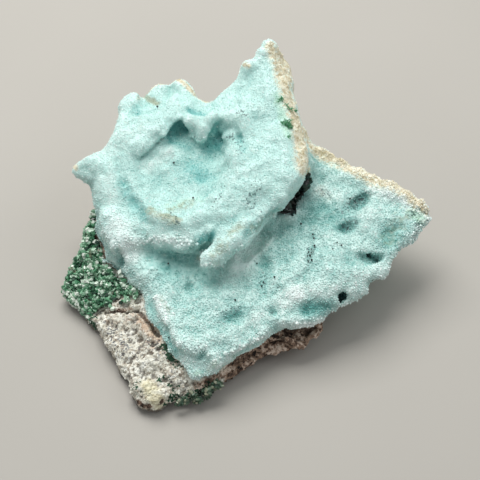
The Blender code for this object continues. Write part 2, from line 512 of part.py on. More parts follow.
def moved(piece, push):
    """Moves each vertex along its normal by push(place)."""
    mesh = piece.data
    moves = [vertex.normal * push(vertex.co) for vertex in mesh.vertices]
    for vertex, move in zip(mesh.vertices, moves):
        vertex.co += move
    mesh.update()
    return piece


def lumpy(piece, lumps):
    """Swells and sinks the surface, with (size, height) of each kind of lump."""

    def push(place):
        return sum(height * noise.noise(place / size + LUMP_START) for size, height in lumps)

    return moved(piece, push)


def fractured(piece, size, tilt):
    """Breaks the surface into flat patches that lean each its own way."""

    def push(place):
        spot = place / size + PATCH_START
        seat = noise.voronoi(spot)[1][0]
        lean = noise.cell_vector(seat * PATCH_SPREAD) * 2.0 - Vector((1.0, 1.0, 1.0))
        return (spot - seat).dot(lean) * tilt * size

    return moved(piece, push)


def sink_pits(piece, surface):
    for vertex in piece.data.vertices:
        x, y, z = vertex.co
        for (middle_x, middle_y), (long, short), turn, depth in PITS:
            cos, sin = math.cos(math.radians(turn)), math.sin(math.radians(turn))
            along = (x - middle_x) * cos + (y - middle_y) * sin
            across = (y - middle_y) * cos - (x - middle_x) * sin
            reach = (along / long) ** 2 + (across / short) ** 2
            if reach < 1.0 and abs(z - surface(x, y)) < PIT_REACH:
                vertex.co.z -= depth * (1.0 - reach) ** 1.5
    piece.data.update()


def build_rock():
    top = SpotSurface(ROCK_TOP)
    lowest = SpotSurface(ROCK_UNDER)

    def under(x, y):
        return min(lowest(x, y), top(x, y) - ROCK_THINNEST)

    def foot_top(x, y):
        return min(FOOT_TOP, top(x, y) - FOOT_COVER)

    shape = bmesh.new()
    add_slab(shape, ROCK_EDGE, top, under, ROCK_PITCH)
    add_slab(shape, FOOT_EDGE, foot_top, lambda x, y: -GROUND_CUT, HIDDEN_PITCH)
    rock = fused(piece_from(shape, "host_rock"), ROCK_VOXEL)
    lumpy(rock, ROCK_LUMPS)
    fractured(rock, ROCK_PATCH, ROCK_PATCH_TILT)
    settle(rock, "REMESH", mode="VOXEL", voxel_size=ROCK_VOXEL)
    thinned(rock, ROCK_TRIANGLES)
    ground = bmesh.new()
    place = Matrix.Translation((0.0, 0.0, -GROUND_SIZE[2] / 2)) @ Matrix.Diagonal((*GROUND_SIZE, 1.0))
    bmesh.ops.create_cube(ground, size=1.0, matrix=place)
    return combined(rock, piece_from(ground, "ground"), "DIFFERENCE")


def build_plates():
    """Both plates with their stem, fused but still without the bowl."""
    sheet_top = SpotSurface(SHEET_TOP)
    sheet_under = SpotSurface(SHEET_UNDER)
    plate_top = SpotSurface(PLATE_TOP)
    plate_under = SpotSurface(PLATE_UNDER)
    rock_top = SpotSurface(ROCK_TOP)

    def strip_top(x, y):
        return sheet_top(x, y) - STRIP_DROP

    def stem_top(x, y):
        return plate_top(x, y) - STEM_COVER

    def stem_bottom(x, y):
        return rock_top(x, y) - STEM_ROOT

    def side_top(x, y):
        return min(SIDE_TOP, plate_top(x, y) - SIDE_COVER)

    shape = bmesh.new()
    add_slab(shape, SHEET_EDGE, sheet_top, sheet_under, SHEET_PITCH)
    add_slab(shape, STRIP_EDGE, strip_top, sheet_under, SHEET_PITCH)
    add_slab(shape, PLATE_EDGE, plate_top, plate_under, SHEET_PITCH)
    add_slab(shape, STEM_EDGE, stem_top, stem_bottom, HIDDEN_PITCH)
    add_slab(shape, SIDE_EDGE, side_top, lambda x, y: SIDE_BOTTOM, HIDDEN_PITCH)
    for limb in LIMBS:
        add_limb(shape, *limb)
    return fused(piece_from(shape, "plates"), CRUST_VOXEL)


def build_bowl_cutter():
    shape = bmesh.new()
    add_slab(shape, BOWL_EDGE, lambda x, y: BOWL_MOUTH, SpotSurface(BOWL_FLOOR), SHEET_PITCH)
    for centre, radii in BOWL_RECESSES:
        add_ball(shape, centre, radii)
    return fused(piece_from(shape, "bowl"), CRUST_VOXEL)


def build_crust(rock):
    plates = combined(build_plates(), build_bowl_cutter(), "DIFFERENCE")
    shape = bmesh.new()
    shape.from_mesh(plates.data)
    bpy.data.objects.remove(plates, do_unlink=True)
    for limb in BOWL_LIMBS:
        add_limb(shape, *limb)
    crust = fused(piece_from(shape, "chrysocolla_crust"), CRUST_VOXEL)
    sink_pits(crust, SpotSurface(SHEET_TOP))
    lumpy(crust, CRUST_LUMPS)
    thinned(crust, CRUST_TRIANGLES)
    return cleared(crust, rock)


def random_lean(generator, spread):
    return Vector((generator.uniform(-spread, spread), generator.uniform(-spread, spread), 1.0)).normalized()


def malachite_roots(generator):
    """Spots for crystals on a staggered grid over the malachite's outline, each shifted a little."""
    low_x, high_x = min(x for x, _ in MALACHITE_EDGE), max(x for x, _ in MALACHITE_EDGE)
    low_y, high_y = min(y for _, y in MALACHITE_EDGE), max(y for _, y in MALACHITE_EDGE)
    for row, y in enumerate(np.arange(low_y, high_y, MALACHITE_PITCH)):
        stagger = MALACHITE_PITCH / 2 * (row % 2)
        for x in np.arange(low_x + stagger, high_x, MALACHITE_PITCH):
            shift_x, shift_y = [generator.uniform(-MALACHITE_SHIFT, MALACHITE_SHIFT) for _ in range(2)]
            spot = (float(x) + shift_x, float(y) + shift_y)
            if inside(MALACHITE_EDGE, *spot):
                yield spot


def build_malachite_crust(rock, crust):
    generator = random.Random(SEED)
    top = SpotSurface(MALACHITE_TOP)
    above, below = MALACHITE_COVER
    bed = bmesh.new()
    add_slab(bed, MALACHITE_EDGE, lambda x, y: top(x, y) - above, lambda x, y: top(x, y) - below, HIDDEN_PITCH)
    crystals = bmesh.new()
    for x, y in malachite_roots(generator):
        root = Vector((x, y, top(x, y) - MALACHITE_ROOT))
        lean = random_lean(generator, MALACHITE_LEAN)
        width, length = generator.uniform(*MALACHITE_WIDTHS), generator.uniform(*MALACHITE_LENGTHS)
        add_crystal(crystals, root, lean, width, length, generator.uniform(0.0, math.pi))
    malachite = combined(piece_from(bed, "malachite_crust"), piece_from(crystals, "crystals"), "UNION")
    return cleared(cleared(malachite, rock), crust)


def build_cluster(name, plan, neighbours):
    """A small cluster of crystals along a row of spots, on one lumpy root."""
    generator = random.Random(name)
    root = bmesh.new()
    for spot in plan["spots"]:
        radius = CLUSTER_ROOT * generator.uniform(*plan["widths"])
        add_ball(root, spot, (radius, radius, radius))
    cluster = piece_from(root, name)
    settle(cluster, "REMESH", mode="VOXEL", voxel_size=CLUSTER_VOXEL)
    thinned(cluster, CLUSTER_TRIANGLES)
    crystals = bmesh.new()
    for spot in plan["spots"] * CRYSTALS_PER_SPOT:
        lean = (Vector(plan["facing"]) + random_lean(generator, plan["lean"])).normalized()
        shift = Vector([generator.uniform(-CLUSTER_SHIFT, CLUSTER_SHIFT) for _ in range(3)])
        width, length = generator.uniform(*plan["widths"]), generator.uniform(*plan["lengths"])
        add_crystal(crystals, Vector(spot) + shift, lean, width, length, generator.uniform(0.0, math.pi))
    combined(cluster, piece_from(crystals, "crystals"), "UNION")
    for neighbour in neighbours:
        cleared(cluster, neighbour)
    return cluster


def finish(piece, look, smooth):
    """Gives a piece its material and scales it to metres."""
    colour, roughness = look
    piece.data.transform(Matrix.Scale(0.001, 4))
    piece.data.polygons.foreach_set("use_smooth", [smooth] * len(piece.data.polygons))
    material = bpy.data.materials.new(piece.name + "_material")
    material.use_nodes = True
    surface = material.node_tree.nodes["Principled BSDF"]
    surface.inputs["Base Color"].default_value = (*colour, 1.0)
    surface.inputs["Roughness"].default_value = roughness
    piece.data.materials.clear()
    piece.data.materials.append(material)


def main():
    clear_scene()
    rock = build_rock()
    crust = build_crust(rock)
    malachite = build_malachite_crust(rock, crust)
    tuft = build_cluster("malachite_tuft", TUFT, [crust])
    patch = build_cluster("malachite_front_patch", FRONT_PATCH, [rock, crust])
    finish(rock, ROCK_LOOK, smooth=False)
    finish(crust, CRUST_LOOK, smooth=True)
    finish(malachite, MALACHITE_LOOK, smooth=False)
    finish(tuft, TUFT_LOOK, smooth=False)
    finish(patch, FRONT_PATCH_LOOK, smooth=False)


main()
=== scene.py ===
"""Looks of a hand specimen of chrysocolla with malachite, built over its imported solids.

Lengths are in millimetres here and become metres where a mesh is written. A spot is a pixel of the
photograph, and its place on the specimen is where the camera's line of sight through it meets the surface.
"""

import json
import math
import random

import bmesh
import bpy
import numpy as np
from mathutils import Matrix, Vector, noise
from mathutils.bvhtree import BVHTree

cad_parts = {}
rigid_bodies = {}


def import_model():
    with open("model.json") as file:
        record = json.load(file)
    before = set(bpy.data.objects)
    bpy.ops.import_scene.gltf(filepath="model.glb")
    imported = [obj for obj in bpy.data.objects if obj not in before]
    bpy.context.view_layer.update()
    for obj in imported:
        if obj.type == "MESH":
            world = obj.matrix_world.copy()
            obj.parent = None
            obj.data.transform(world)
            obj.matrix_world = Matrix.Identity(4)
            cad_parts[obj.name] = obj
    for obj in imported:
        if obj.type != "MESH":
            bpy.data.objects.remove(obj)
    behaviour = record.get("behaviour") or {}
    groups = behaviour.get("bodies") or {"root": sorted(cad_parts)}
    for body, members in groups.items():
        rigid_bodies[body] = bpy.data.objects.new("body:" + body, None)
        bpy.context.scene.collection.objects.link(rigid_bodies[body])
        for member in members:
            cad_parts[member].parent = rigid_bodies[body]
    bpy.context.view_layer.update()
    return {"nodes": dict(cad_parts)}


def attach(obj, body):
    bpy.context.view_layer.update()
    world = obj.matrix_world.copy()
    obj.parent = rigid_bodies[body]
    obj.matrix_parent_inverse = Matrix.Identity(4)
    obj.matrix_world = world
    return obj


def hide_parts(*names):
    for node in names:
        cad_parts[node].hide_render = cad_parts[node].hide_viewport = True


SEED = 11
MM = 0.001

# Camera
PHOTO_SIDE = 480
LENS = 125.0
SENSOR = 36.0
CAMERA_DISTANCE = 300.0
CAMERA_ELEVATION = math.radians(50)
CAMERA_TARGET = Vector((0.0, 0.0, 12.0))

# Corners of a CAD solid that are nearer than this are one corner
MERGED = 0.001

# Fineness of the sculpted skins, and the rounds of smoothing that take their facets away
CRUST_VOXEL = 0.34
ROCK_VOXEL = 0.36
BED_VOXEL = 0.3
CRUST_ROUNDS = 8
ROCK_ROUNDS = 3
BED_ROUNDS = 3
SOFTENING_ROUNDS = 150

# Middle of a measure that runs from 0 to 1
MIDDLE = 0.5

# Lumps of the skins: (height, size, place in the noise)
LIP_LUMPS = (0.4, 0.9, 6.0)
ROCK_LUMPS = [(0.45, 2.6, 5.0), (0.35, 1.2, 2.0), (0.28, 0.6, 7.0)]
ROCK_BACK_LUMPS = [(0.9, 5.0, 1.0)]
BED_LUMPS = [(0.3, 1.8, 8.0), (0.15, 0.8, 2.0)]

# Lumps of the crust: (height, what the lower plate adds to it, size, place in the noise)
CRUST_LUMPS = [(0.12, 0.05, 1.2, 9.0), (0.05, 0.03, 0.6, 5.0), (0.22, 0.0, 2.6, 3.0)]

# How far the skins are drawn in to make room for crystals and grains, and the lowest point of the rock
ROCK_DRAWN_IN = 0.1
ROCK_BACK_DRAWN_IN = 0.2
BED_DRAWN_IN = 0.15
LOWEST = 0.05

# The lower plate's level where y is 0, and how it climbs to the back
LOWER_LEVEL = 11.2
LOWER_CLIMB = 0.14
# Heights over it between which the step leads to the upper plate
STEP = (2.2, 3.4)

# Heights at which a spot just past an edge is brought to the edge
EDGE_HEIGHTS = range(6, 28)

# A spot fades out at so many times its radius
SPOT_REACH = 1.5

# Pits and the rim line of the bowl: (start spot, end spot, radius, depth, how dark its painted shade is)
# Rows one to three paint the shadow under the bowl's back rim and in its corner; the rest paint shade in pits
PITS_WITH_PAINTED_SHADE = [
    ((141, 158), (158, 144), 0.4, 0.3, 0.36),
    ((157, 144), (170, 133), 0.55, 0.35, 0.45),
    ((170, 134), (180, 122), 0.65, 0.35, 0.55),
    ((352, 206), (363, 196), 2.0, 0.45, 0.5),
    ((356, 202), (362, 197), 1.1, 0.3, 0.62),
    ((343, 229), (354, 223), 1.3, 0.4, 0.5),
    ((361, 256), (378, 260), 0.95, 0.6, 0.52),
    ((370, 256), (377, 262), 0.42, 1.0, 1.0),
    ((340, 299), (343, 296), 0.75, 1.2, 1.0),
    ((308, 259), (314, 248), 0.6, 0.25, 0.4),
    ((228, 318), (243, 311), 1.2, 0.3, 0.1),
    ((117, 252), (121, 263), 0.9, 0.8, 0.3),
    ((188, 289), (190, 285), 0.6, 0.35, 0.35),
    ((272, 313), (275, 313), 0.5, 0.25, 0.3),
    ((375, 286), (377, 282), 0.55, 0.8, 0.9),
    ((416, 232), (420, 224), 0.5, 0.3, 0.5),
]

# Where the solid's own forms are softened: (start spot, end spot, radius, share)
SOFTENED = [
    ((132, 164), (142, 206), 2.2, 0.9),
    ((143, 158), (160, 143), 1.7, 0.95),
    ((213, 126), (215, 142), 1.6, 0.6),
    ((224, 126), (232, 138), 1.6, 0.8),
    ((150, 308), (176, 352), 1.4, 0.6),
]

# Smooth places where hardly any crystals stand: (start spot, end spot, radius)
SMOOTH = [
    ((154, 260), (204, 270), 3.2),
    ((200, 240), (212, 236), 1.0),
    ((213, 126), (214, 146), 1.8),
    ((174, 128), (186, 132), 1.0),
    ((190, 110), (206, 113), 0.6),
    ((400, 220), (390, 240), 1.2),
    ((151, 308), (158, 332), 0.8),
    ((238, 268), (252, 262), 1.6),
    ((126, 190), (134, 206), 1.0),
]

# Hollows and ridges of the crust: (start spot, end spot, radius, height), which is below 0 in a hollow
RELIEF = [
    # spire's blunt tip and the bump on its left
    ((269, 46), (264, 82), 2.1, 0.4),
    ((268, 45), (274, 47), 0.9, 0.2),
    ((264, 46), (263, 51), 1.0, 0.5),
    ((277, 47), (281, 53), 1.0, 0.35),
    ((258, 57), (253, 64), 1.4, 0.8),
    ((246, 66), (247, 70), 1.0, 0.5),
    # bluish groove left of the bowl
    ((124, 186), (131, 203), 1.3, -0.3),
    ((131, 203), (144, 218), 1.4, -0.3),
    ((117, 161), (124, 183), 0.8, -0.25),
    ((112, 172), (118, 192), 1.2, 0.35),
    # crisp back rim of the bowl and the corner beneath it
    ((139, 155), (163, 134), 0.5, 0.3),
    ((163, 134), (180, 117), 0.55, 0.45),
    ((150, 166), (168, 151), 1.3, 0.5),
    ((153, 174), (174, 158), 2.4, 0.45),
    ((172, 148), (190, 144), 1.0, 0.15),
    # tongue between the corner and the pocket
    ((189, 122), (194, 132), 1.2, 0.9),
    ((213, 118), (206, 128), 1.2, 0.7),
    ((190, 110), (204, 113), 0.9, -0.4),
    # pocket and the lumps right of it
    ((213, 130), (214, 142), 1.5, 0.5),
    ((222, 128), (226, 136), 0.9, 0.4),
    ((228, 122), (233, 134), 0.9, 0.3),
    ((228, 138), (236, 160), 1.4, 0.5),
    ((238, 112), (246, 118), 1.3, 0.3),
    ((240, 138), (243, 148), 0.9, -0.3),
    ((224, 148), (228, 156), 0.8, 0.35),
    # front rim of the bowl
    ((150, 216), (178, 222), 1.0, 0.35),
    ((190, 215), (212, 200), 1.2, 0.35),
    ((212, 200), (228, 172), 1.2, 0.3),
    # knobs at the back left and the gaps between them
    ((131, 103), (133, 101), 1.7, 0.8),
    ((156, 93), (158, 91), 1.7, 0.6),
    ((181, 86), (187, 90), 1.6, 0.6),
    ((145, 104), (141, 94), 0.8, -0.5),
    ((171, 88), (164, 103), 0.8, -0.6),
    ((134, 113), (146, 111), 0.9, -0.5),
    # finger, lobe and notch of the ledge
    ((204, 258), (207, 255), 1.3, 0.5),
    ((214, 262), (219, 258), 1.2, 0.5),
    ((200, 255), (200, 256), 0.6, 0.4),
    ((205, 264), (206, 264), 0.6, 0.4),
    ((213, 267), (214, 267), 0.6, 0.4),
    ((221, 262), (222, 262), 0.6, 0.4),
    ((224, 248), (236, 238), 1.2, 0.35),
    ((206, 236), (212, 240), 1.4, 0.8),
    ((210, 231), (213, 236), 1.1, 0.6),
    ((192, 250), (203, 247), 1.2, -0.6),
    ((180, 254), (192, 252), 1.0, -0.6),
    ((244, 256), (264, 234), 1.3, -0.9),
    ((250, 236), (274, 215), 1.3, -0.7),
    ((166, 240), (170, 241), 0.9, 0.3),
    # lower plate: shaded valley, front left block and lower right bulge
    ((258, 236), (263, 262), 1.6, -0.5),
    ((263, 262), (266, 292), 1.5, -0.35),
    ((157, 300), (168, 322), 0.7, 0.4),
    ((168, 322), (180, 344), 0.6, 0.4),
    ((180, 344), (198, 354), 0.6, 0.35),
    ((200, 356), (214, 346), 0.8, -0.3),
    ((207, 330), (222, 338), 1.0, 0.3),
    ((296, 293), (330, 287), 2.4, 0.6),
    ((308, 309), (330, 309), 1.4, -0.7),
    ((284, 322), (322, 320), 1.0, 0.4),
    ((236, 356), (262, 342), 0.8, -0.6),
    ((216, 366), (220, 364), 0.6, 0.4),
    ((325, 262), (352, 270), 2.2, 0.4),
    ((384, 230), (398, 240), 1.8, -0.2),
    ((372, 215), (404, 214), 1.6, 0.2),
    # crumbling back rim of the lower plate, blunt at its right end
    ((362, 172), (386, 183), 1.4, 0.35),
    ((392, 187), (418, 203), 1.7, 0.8),
    ((422, 208), (428, 218), 1.6, 0.8),
    ((274, 222), (290, 215), 1.5, 0.8),
    ((292, 219), (299, 213), 1.2, 0.8),
    ((322, 150), (330, 154), 0.8, 0.25),
    ((340, 160), (345, 163), 0.7, 0.3),
    ((358, 170), (362, 172), 0.7, 0.3),
    ((374, 177), (378, 179), 0.7, 0.3),
    ((318, 205), (336, 214), 1.8, -0.35),
    ((204, 300), (222, 296), 1.8, 0.35),
    ((246, 336), (266, 322), 1.2, -0.3),
    ((386, 194), (404, 200), 1.4, 0.5),
    # left edge over the malachite
    ((93, 232), (100, 250), 1.4, -1.0),
    ((104, 262), (124, 278), 1.2, -0.8),
]

# Many tints are painted light and shade. Painted shade lies under the ledge, in the bowl's back corner
# and pocket, along the ledge's right edge and on the lower plate's right slope. Painted light lies on the
# plate's back rim and along its front edge. The other tints are the crust's own tone.
# shaded wall under the bowl's rim, right of the finger, on the left flank, below the right end of the lower
# Deeper blue-green and whiter places: (start spot, end spot, radius, change of tone)
TINTS_WITH_PAINTED_SHADE_AND_LIGHT = [
    ((246, 234), (276, 212), 1.4, -0.25),
    ((186, 164), (196, 176), 2.2, -0.2),
    ((322, 224), (336, 228), 2.0, -0.12),
    ((284, 304), (296, 296), 2.0, 0.28),
    ((246, 326), (258, 316), 2.0, 0.12),
    ((350, 286), (366, 274), 2.0, 0.1),
    ((160, 236), (186, 238), 1.3, 0.14),
    ((158, 260), (200, 266), 3.2, -0.1),
    ((240, 262), (258, 238), 2.3, 0.42),
    ((396, 238), (386, 244), 1.3, -0.1),
    ((262, 250), (264, 285), 1.6, -0.08),
    ((118, 228), (132, 250), 2.4, 0.4),
    ((232, 284), (246, 296), 2.2, 0.1),
    ((104, 180), (115, 214), 2.0, 0.14),
    ((172, 144), (186, 146), 1.6, -0.22),
    ((402, 218), (388, 242), 2.8, -0.17),
    ((372, 189), (406, 203), 1.5, 0.3),
    ((325, 262), (352, 270), 2.4, -0.08),
    ((319, 189), (329, 196), 1.6, 0.18),
    ((212, 366), (262, 341), 0.9, 0.15),
    ((262, 341), (322, 325), 0.9, 0.15),
    ((149, 302), (160, 332), 0.9, -0.2),
    ((160, 332), (178, 356), 1.1, -0.2),
    ((182, 358), (208, 366), 1.1, 0.16),
    ((170, 132), (184, 127), 1.6, -0.42),
    ((160, 182), (192, 172), 4.0, -0.08),
    ((213, 126), (222, 136), 1.9, -0.28),
    ((207, 146), (216, 142), 1.4, -0.32),
    ((206, 160), (208, 190), 1.8, -0.1),
    ((190, 110), (204, 113), 0.9, -0.3),
    ((146, 170), (170, 152), 1.4, 0.3),
    ((190, 122), (204, 133), 1.0, 0.12),
    ((122, 186), (144, 216), 1.5, -0.22),
    ((136, 109), (138, 112), 1.0, -0.25),
    ((240, 138), (243, 148), 1.2, -0.2),
    ((200, 240), (213, 236), 1.2, -0.45),
    ((236, 218), (212, 234), 1.0, -0.15),
    ((226, 320), (243, 311), 1.9, -0.14),
    ((308, 309), (330, 309), 1.8, -0.32),
    ((372, 214), (412, 214), 2.0, 0.1),
    ((330, 240), (372, 244), 2.6, 0.04),
    ((312, 210), (345, 216), 2.6, -0.18),
    ((300, 228), (282, 250), 2.6, -0.12),
    ((246, 284), (262, 300), 2.6, -0.06),
    ((170, 276), (216, 292), 3.0, -0.08),
    ((205, 150), (222, 146), 2.0, -0.1),
    ((105, 150), (140, 128), 2.4, 0.12),
    ((140, 118), (200, 112), 2.2, -0.06),
    ((160, 300), (166, 314), 1.4, 0.2),
    ((246, 232), (210, 258), 1.7, 0.04),
    ((202, 262), (219, 264), 1.0, 0.4),
    ((150, 240), (188, 244), 1.1, 0.15),
    ((292, 200), (262, 218), 1.3, 0.15),
    ((296, 293), (326, 290), 1.8, 0.12),
    ((284, 324), (320, 322), 1.0, 0.12),
    ((190, 340), (206, 350), 1.2, 0.12),
]

# Shares of a tan rim's half width up to which it is full, and past which it is gone
RIM_FULL = 0.4
RIM_GONE = 1.8

# Broken tan rims: (start spot, end spot, half width)
TAN_RIMS = [
    ((271, 47), (276, 53), 1.0),
    ((276, 53), (282, 66), 1.6),
    ((282, 66), (285, 84), 1.7),
    ((285, 84), (290, 104), 1.5),
    ((290, 104), (297, 122), 1.4),
    ((297, 122), (301, 145), 1.5),
    ((301, 145), (303, 168), 1.4),
    ((306, 160), (307, 172), 1.2),
    ((281, 50), (291, 64), 1.2),
    ((291, 64), (294, 88), 1.5),
    ((294, 88), (298, 104), 1.4),
    ((298, 104), (306, 134), 1.4),
    ((304, 134), (312, 146), 1.5),
    ((312, 146), (340, 160), 1.5),
    ((340, 160), (352, 167), 1.5),
    ((352, 167), (382, 181), 1.5),
    ((382, 181), (404, 190), 1.4),
    ((404, 190), (419, 202), 1.3),
    ((419, 202), (427, 211), 0.9),
    ((143, 93), (153, 87), 0.45),
    ((153, 87), (178, 79), 0.35),
    ((180, 80), (190, 89), 0.5),
    ((190, 89), (207, 101), 0.55),
    ((72, 164), (76, 168), 0.45),
    ((244, 64), (248, 66), 0.45),
]

# Olive and beige stains, and grey painted shade in two places: (start spot, end spot, radius, strength)
STAINS_AND_PAINTED_SHADE = [
    ((138, 98), (146, 93), 0.7, 0.6),
    ((144, 96), (157, 104), 0.8, 0.8),
    ((150, 210), (164, 216), 1.3, 0.6),
    ((164, 215), (176, 220), 1.2, 0.8),
    ((172, 210), (188, 204), 1.6, 0.4),
    ((321, 189), (327, 196), 1.3, 0.35),
    ((204, 97), (212, 100), 0.8, 0.35),
    ((306, 152), (307, 172), 0.7, 0.6),
    ((160, 300), (168, 312), 1.0, 0.3),
    ((410, 210), (416, 214), 1.1, 0.3),
    ((240, 226), (214, 254), 1.4, 0.48),
    ((200, 258), (216, 264), 1.0, 0.42),
    # painted shade along the ledge's right edge
    ((252, 230), (278, 211), 1.2, 0.34),
    # painted shade on the lower plate's right slope
    ((402, 218), (388, 242), 2.4, 0.32),
    ((206, 372), (240, 356), 0.7, 0.4),
]

# Pale green shade round the sprays: (start spot, end spot, radius, strength)
MINT = [
    ((279, 97), (289, 134), 1.5, 0.6),
    ((168, 206), (198, 200), 2.0, 0.35),
    ((412, 213), (423, 220), 1.5, 0.6),
    ((196, 374), (216, 364), 0.9, 0.5),
]

# Lips with larger icy crystals: (start spot, end spot, radius)
LIPS = [
    ((146, 241), (163, 240), 0.8),
    ((163, 240), (178, 238), 0.7),
    ((178, 238), (190, 247), 0.9),
    ((190, 247), (200, 240), 0.7),
    ((199, 256), (207, 266), 0.9),
    ((207, 266), (221, 262), 0.9),
    ((221, 262), (236, 250), 0.6),
    ((236, 250), (262, 222), 0.6),
    ((262, 222), (286, 210), 0.6),
    ((191, 138), (204, 139), 0.6),
    ((412, 210), (424, 214), 1.4),
    ((424, 218), (418, 232), 0.8),
    ((418, 232), (410, 243), 0.7),
    ((410, 243), (393, 258), 0.7),
    ((391, 262), (389, 274), 0.7),
    ((389, 276), (371, 291), 0.7),
    ((371, 291), (338, 313), 0.7),
    ((338, 313), (300, 325), 0.7),
    ((300, 325), (262, 336), 0.6),
    ((262, 336), (212, 362), 0.6),
    ((157, 299), (170, 312), 0.8),
]

# Where the druse is thin and grey specks show: (start spot, end spot, radius, strength)
SPECKLED = [
    ((256, 184), (250, 204), 1.0, 1.0),
    ((240, 112), (246, 116), 1.2, 0.9),
    ((232, 136), (240, 150), 1.3, 1.0),
    ((229, 160), (226, 172), 1.0, 0.7),
    ((222, 190), (214, 206), 1.0, 0.8),
    ((166, 216), (178, 222), 0.8, 1.0),
    ((262, 207), (258, 210), 1.0, 0.6),
    ((312, 248), (309, 262), 0.9, 1.0),
    ((320, 188), (328, 196), 1.1, 0.7),
    ((410, 212), (424, 216), 1.2, 0.9),
    ((346, 212), (350, 206), 0.9, 0.8),
    ((340, 230), (346, 232), 0.8, 0.7),
    ((264, 278), (272, 288), 1.5, 0.6),
    ((222, 318), (236, 310), 1.6, 0.7),
    ((285, 262), (286, 264), 1.4, 0.4),
    ((420, 218), (414, 236), 0.9, 1.0),
    ((186, 344), (202, 352), 1.2, 0.5),
    ((272, 313), (276, 314), 0.9, 0.9),
]

# Where the dark tuft sinks into the crust: (start spot, end spot, radius, height)
TUFT_RELIEF = [
    ((308, 203), (298, 213), 1.7, -2.6),
    ((296, 212), (280, 219), 1.8, -2.4),
    ((308, 198), (313, 200), 0.6, -1.2),
]

# Malachite patch's front left corner, which is drawn back by a share of its distance from a line
CORNER_SIDES = (-25.5, -22.0)
CORNER_LINE = 2.0
CORNER_SHARE = 0.15

# Cracks and lumps of the rock: (start spot, end spot, radius, height)
ROCK_RELIEF = [
    ((104, 312), (127, 311), 0.5, -0.7),
    ((127, 311), (136, 309), 0.5, -0.8),
    ((136, 309), (158, 334), 0.55, -0.8),
    ((236, 376), (268, 362), 1.6, -2.0),
    ((264, 362), (280, 356), 1.4, -1.8),
    ((228, 358), (262, 345), 0.5, -0.8),
    ((276, 336), (284, 332), 0.6, -0.8),
    ((284, 330), (312, 331), 1.0, -1.6),
    ((300, 338), (307, 340), 0.6, -0.6),
    ((282, 342), (292, 340), 0.8, 0.4),
    ((110, 324), (122, 330), 0.8, -0.35),
    ((122, 344), (140, 338), 0.7, -0.3),
    ((130, 362), (150, 352), 0.8, -0.35),
    ((152, 342), (157, 347), 0.7, -0.6),
    ((140, 380), (160, 372), 0.8, -0.3),
    ((146, 392), (156, 398), 1.8, 0.5),
    ((166, 380), (174, 390), 0.7, -0.5),
    ((115, 336), (128, 352), 1.2, 0.3),
    ((134, 320), (146, 334), 1.3, 0.35),
]

# Colours of the rock: (start spot, end spot, radius, strength)
GREEN_PATCHES = [
    ((190, 396), (212, 388), 1.4, 0.75),
    ((168, 404), (176, 396), 1.2, 0.5),
    ((126, 384), (136, 394), 1.0, 0.4),
    ((66, 306), (94, 324), 1.2, 0.8),
    ((164, 345), (171, 358), 0.8, 0.8),
    ((172, 360), (179, 366), 0.7, 0.7),
    ((160, 378), (176, 390), 1.0, 0.4),
]
BROWN_PATCHES = [
    ((104, 312), (136, 309), 0.5, 0.9),
    ((136, 309), (158, 334), 0.55, 0.9),
    ((152, 342), (157, 347), 0.5, 1.0),
    ((138, 402), (146, 407), 0.6, 1.0),
    ((146, 407), (168, 406), 0.6, 1.0),
    ((112, 366), (128, 396), 0.4, 0.6),
    ((198, 386), (236, 370), 1.2, 0.8),
    ((168, 382), (172, 386), 0.5, 0.8),
]
PINK_PATCHES = [
    ((138, 317), (156, 336), 1.8, 1.0),
    ((110, 318), (130, 318), 1.2, 0.5),
    ((142, 340), (160, 352), 1.4, 0.5),
]
YELLOW_PATCHES = [
    ((148, 386), (158, 402), 2.2, 0.8),
]
GREY_PATCHES = [
    ((112, 330), (124, 350), 1.7, 0.9),
    ((150, 342), (160, 350), 1.4, 0.7),
    ((132, 352), (142, 360), 1.4, 0.5),
    ((170, 374), (180, 384), 1.2, 0.5),
]
# Painted shade: the dark strip just under the crust and the near-black edge of the foot
PAINTED_SHADE_PATCHES = [
    ((266, 343), (314, 331), 0.7, 1.0),
    ((138, 408), (170, 411), 0.8, 0.9),
]
ROCK_COLOURS = {
    "green": GREEN_PATCHES, "brown": BROWN_PATCHES, "pink": PINK_PATCHES, "yellow": YELLOW_PATCHES,
    "grey": GREY_PATCHES, "cavity": PAINTED_SHADE_PATCHES,
}

# Where the rock's back starts and is reached, from the front
ROCK_BACK = (-6.0, 4.0)

# Brown rock under the plates: where it starts and is full from the left, and how its edge wanders
FRONT_BROWN = (-4.5, -1.5)
FRONT_BROWN_EDGE = [(1.5, 2.0, 0.0)]

# Brown patches of the back: the noise that makes them, and where they start and are full in it
BACK_BROWN_NOISE = [(1.0, 6.0, 4.0), (0.4, 1.5, 6.0)]
BACK_BROWN = (0.0, 0.35)

# Shade is painted on the foot: full below one height, gone above the next, and its edge wanders
PAINTED_FOOT_SHADE = (0.6, 2.6)
PAINTED_FOOT_SHADE_EDGE = [(0.5, 1.5, 8.0)]

# How hollow a place is, as (rounds of smoothing that the skin is set against, weight)
CRUST_HOLLOWS = [(30, 0.9), (200, 0.4)]
CRUST_HOLLOW_SHARE = 0.5
ROCK_HOLLOWS = (6, 2.2)
BED_HOLLOW_ROUNDS = 30

# Measures between which crystals go from none to all: the upward part of the normal, the height over the
# floor, the reach of a lip and, the other way round, how far a bed is sunk
DRUSE_TILT = (-0.75, -0.1)
GRAIN_TILT = (-0.6, -0.2)
GRAIN_CLEARANCE = (0.4, 0.9)
BED_CLEARANCE = (0.3, 0.7)
LIP_EDGE = (0.1, 0.6)
SUNK_EDGE = (0.3, 0.7)
SMOOTH_THINNING = 0.85

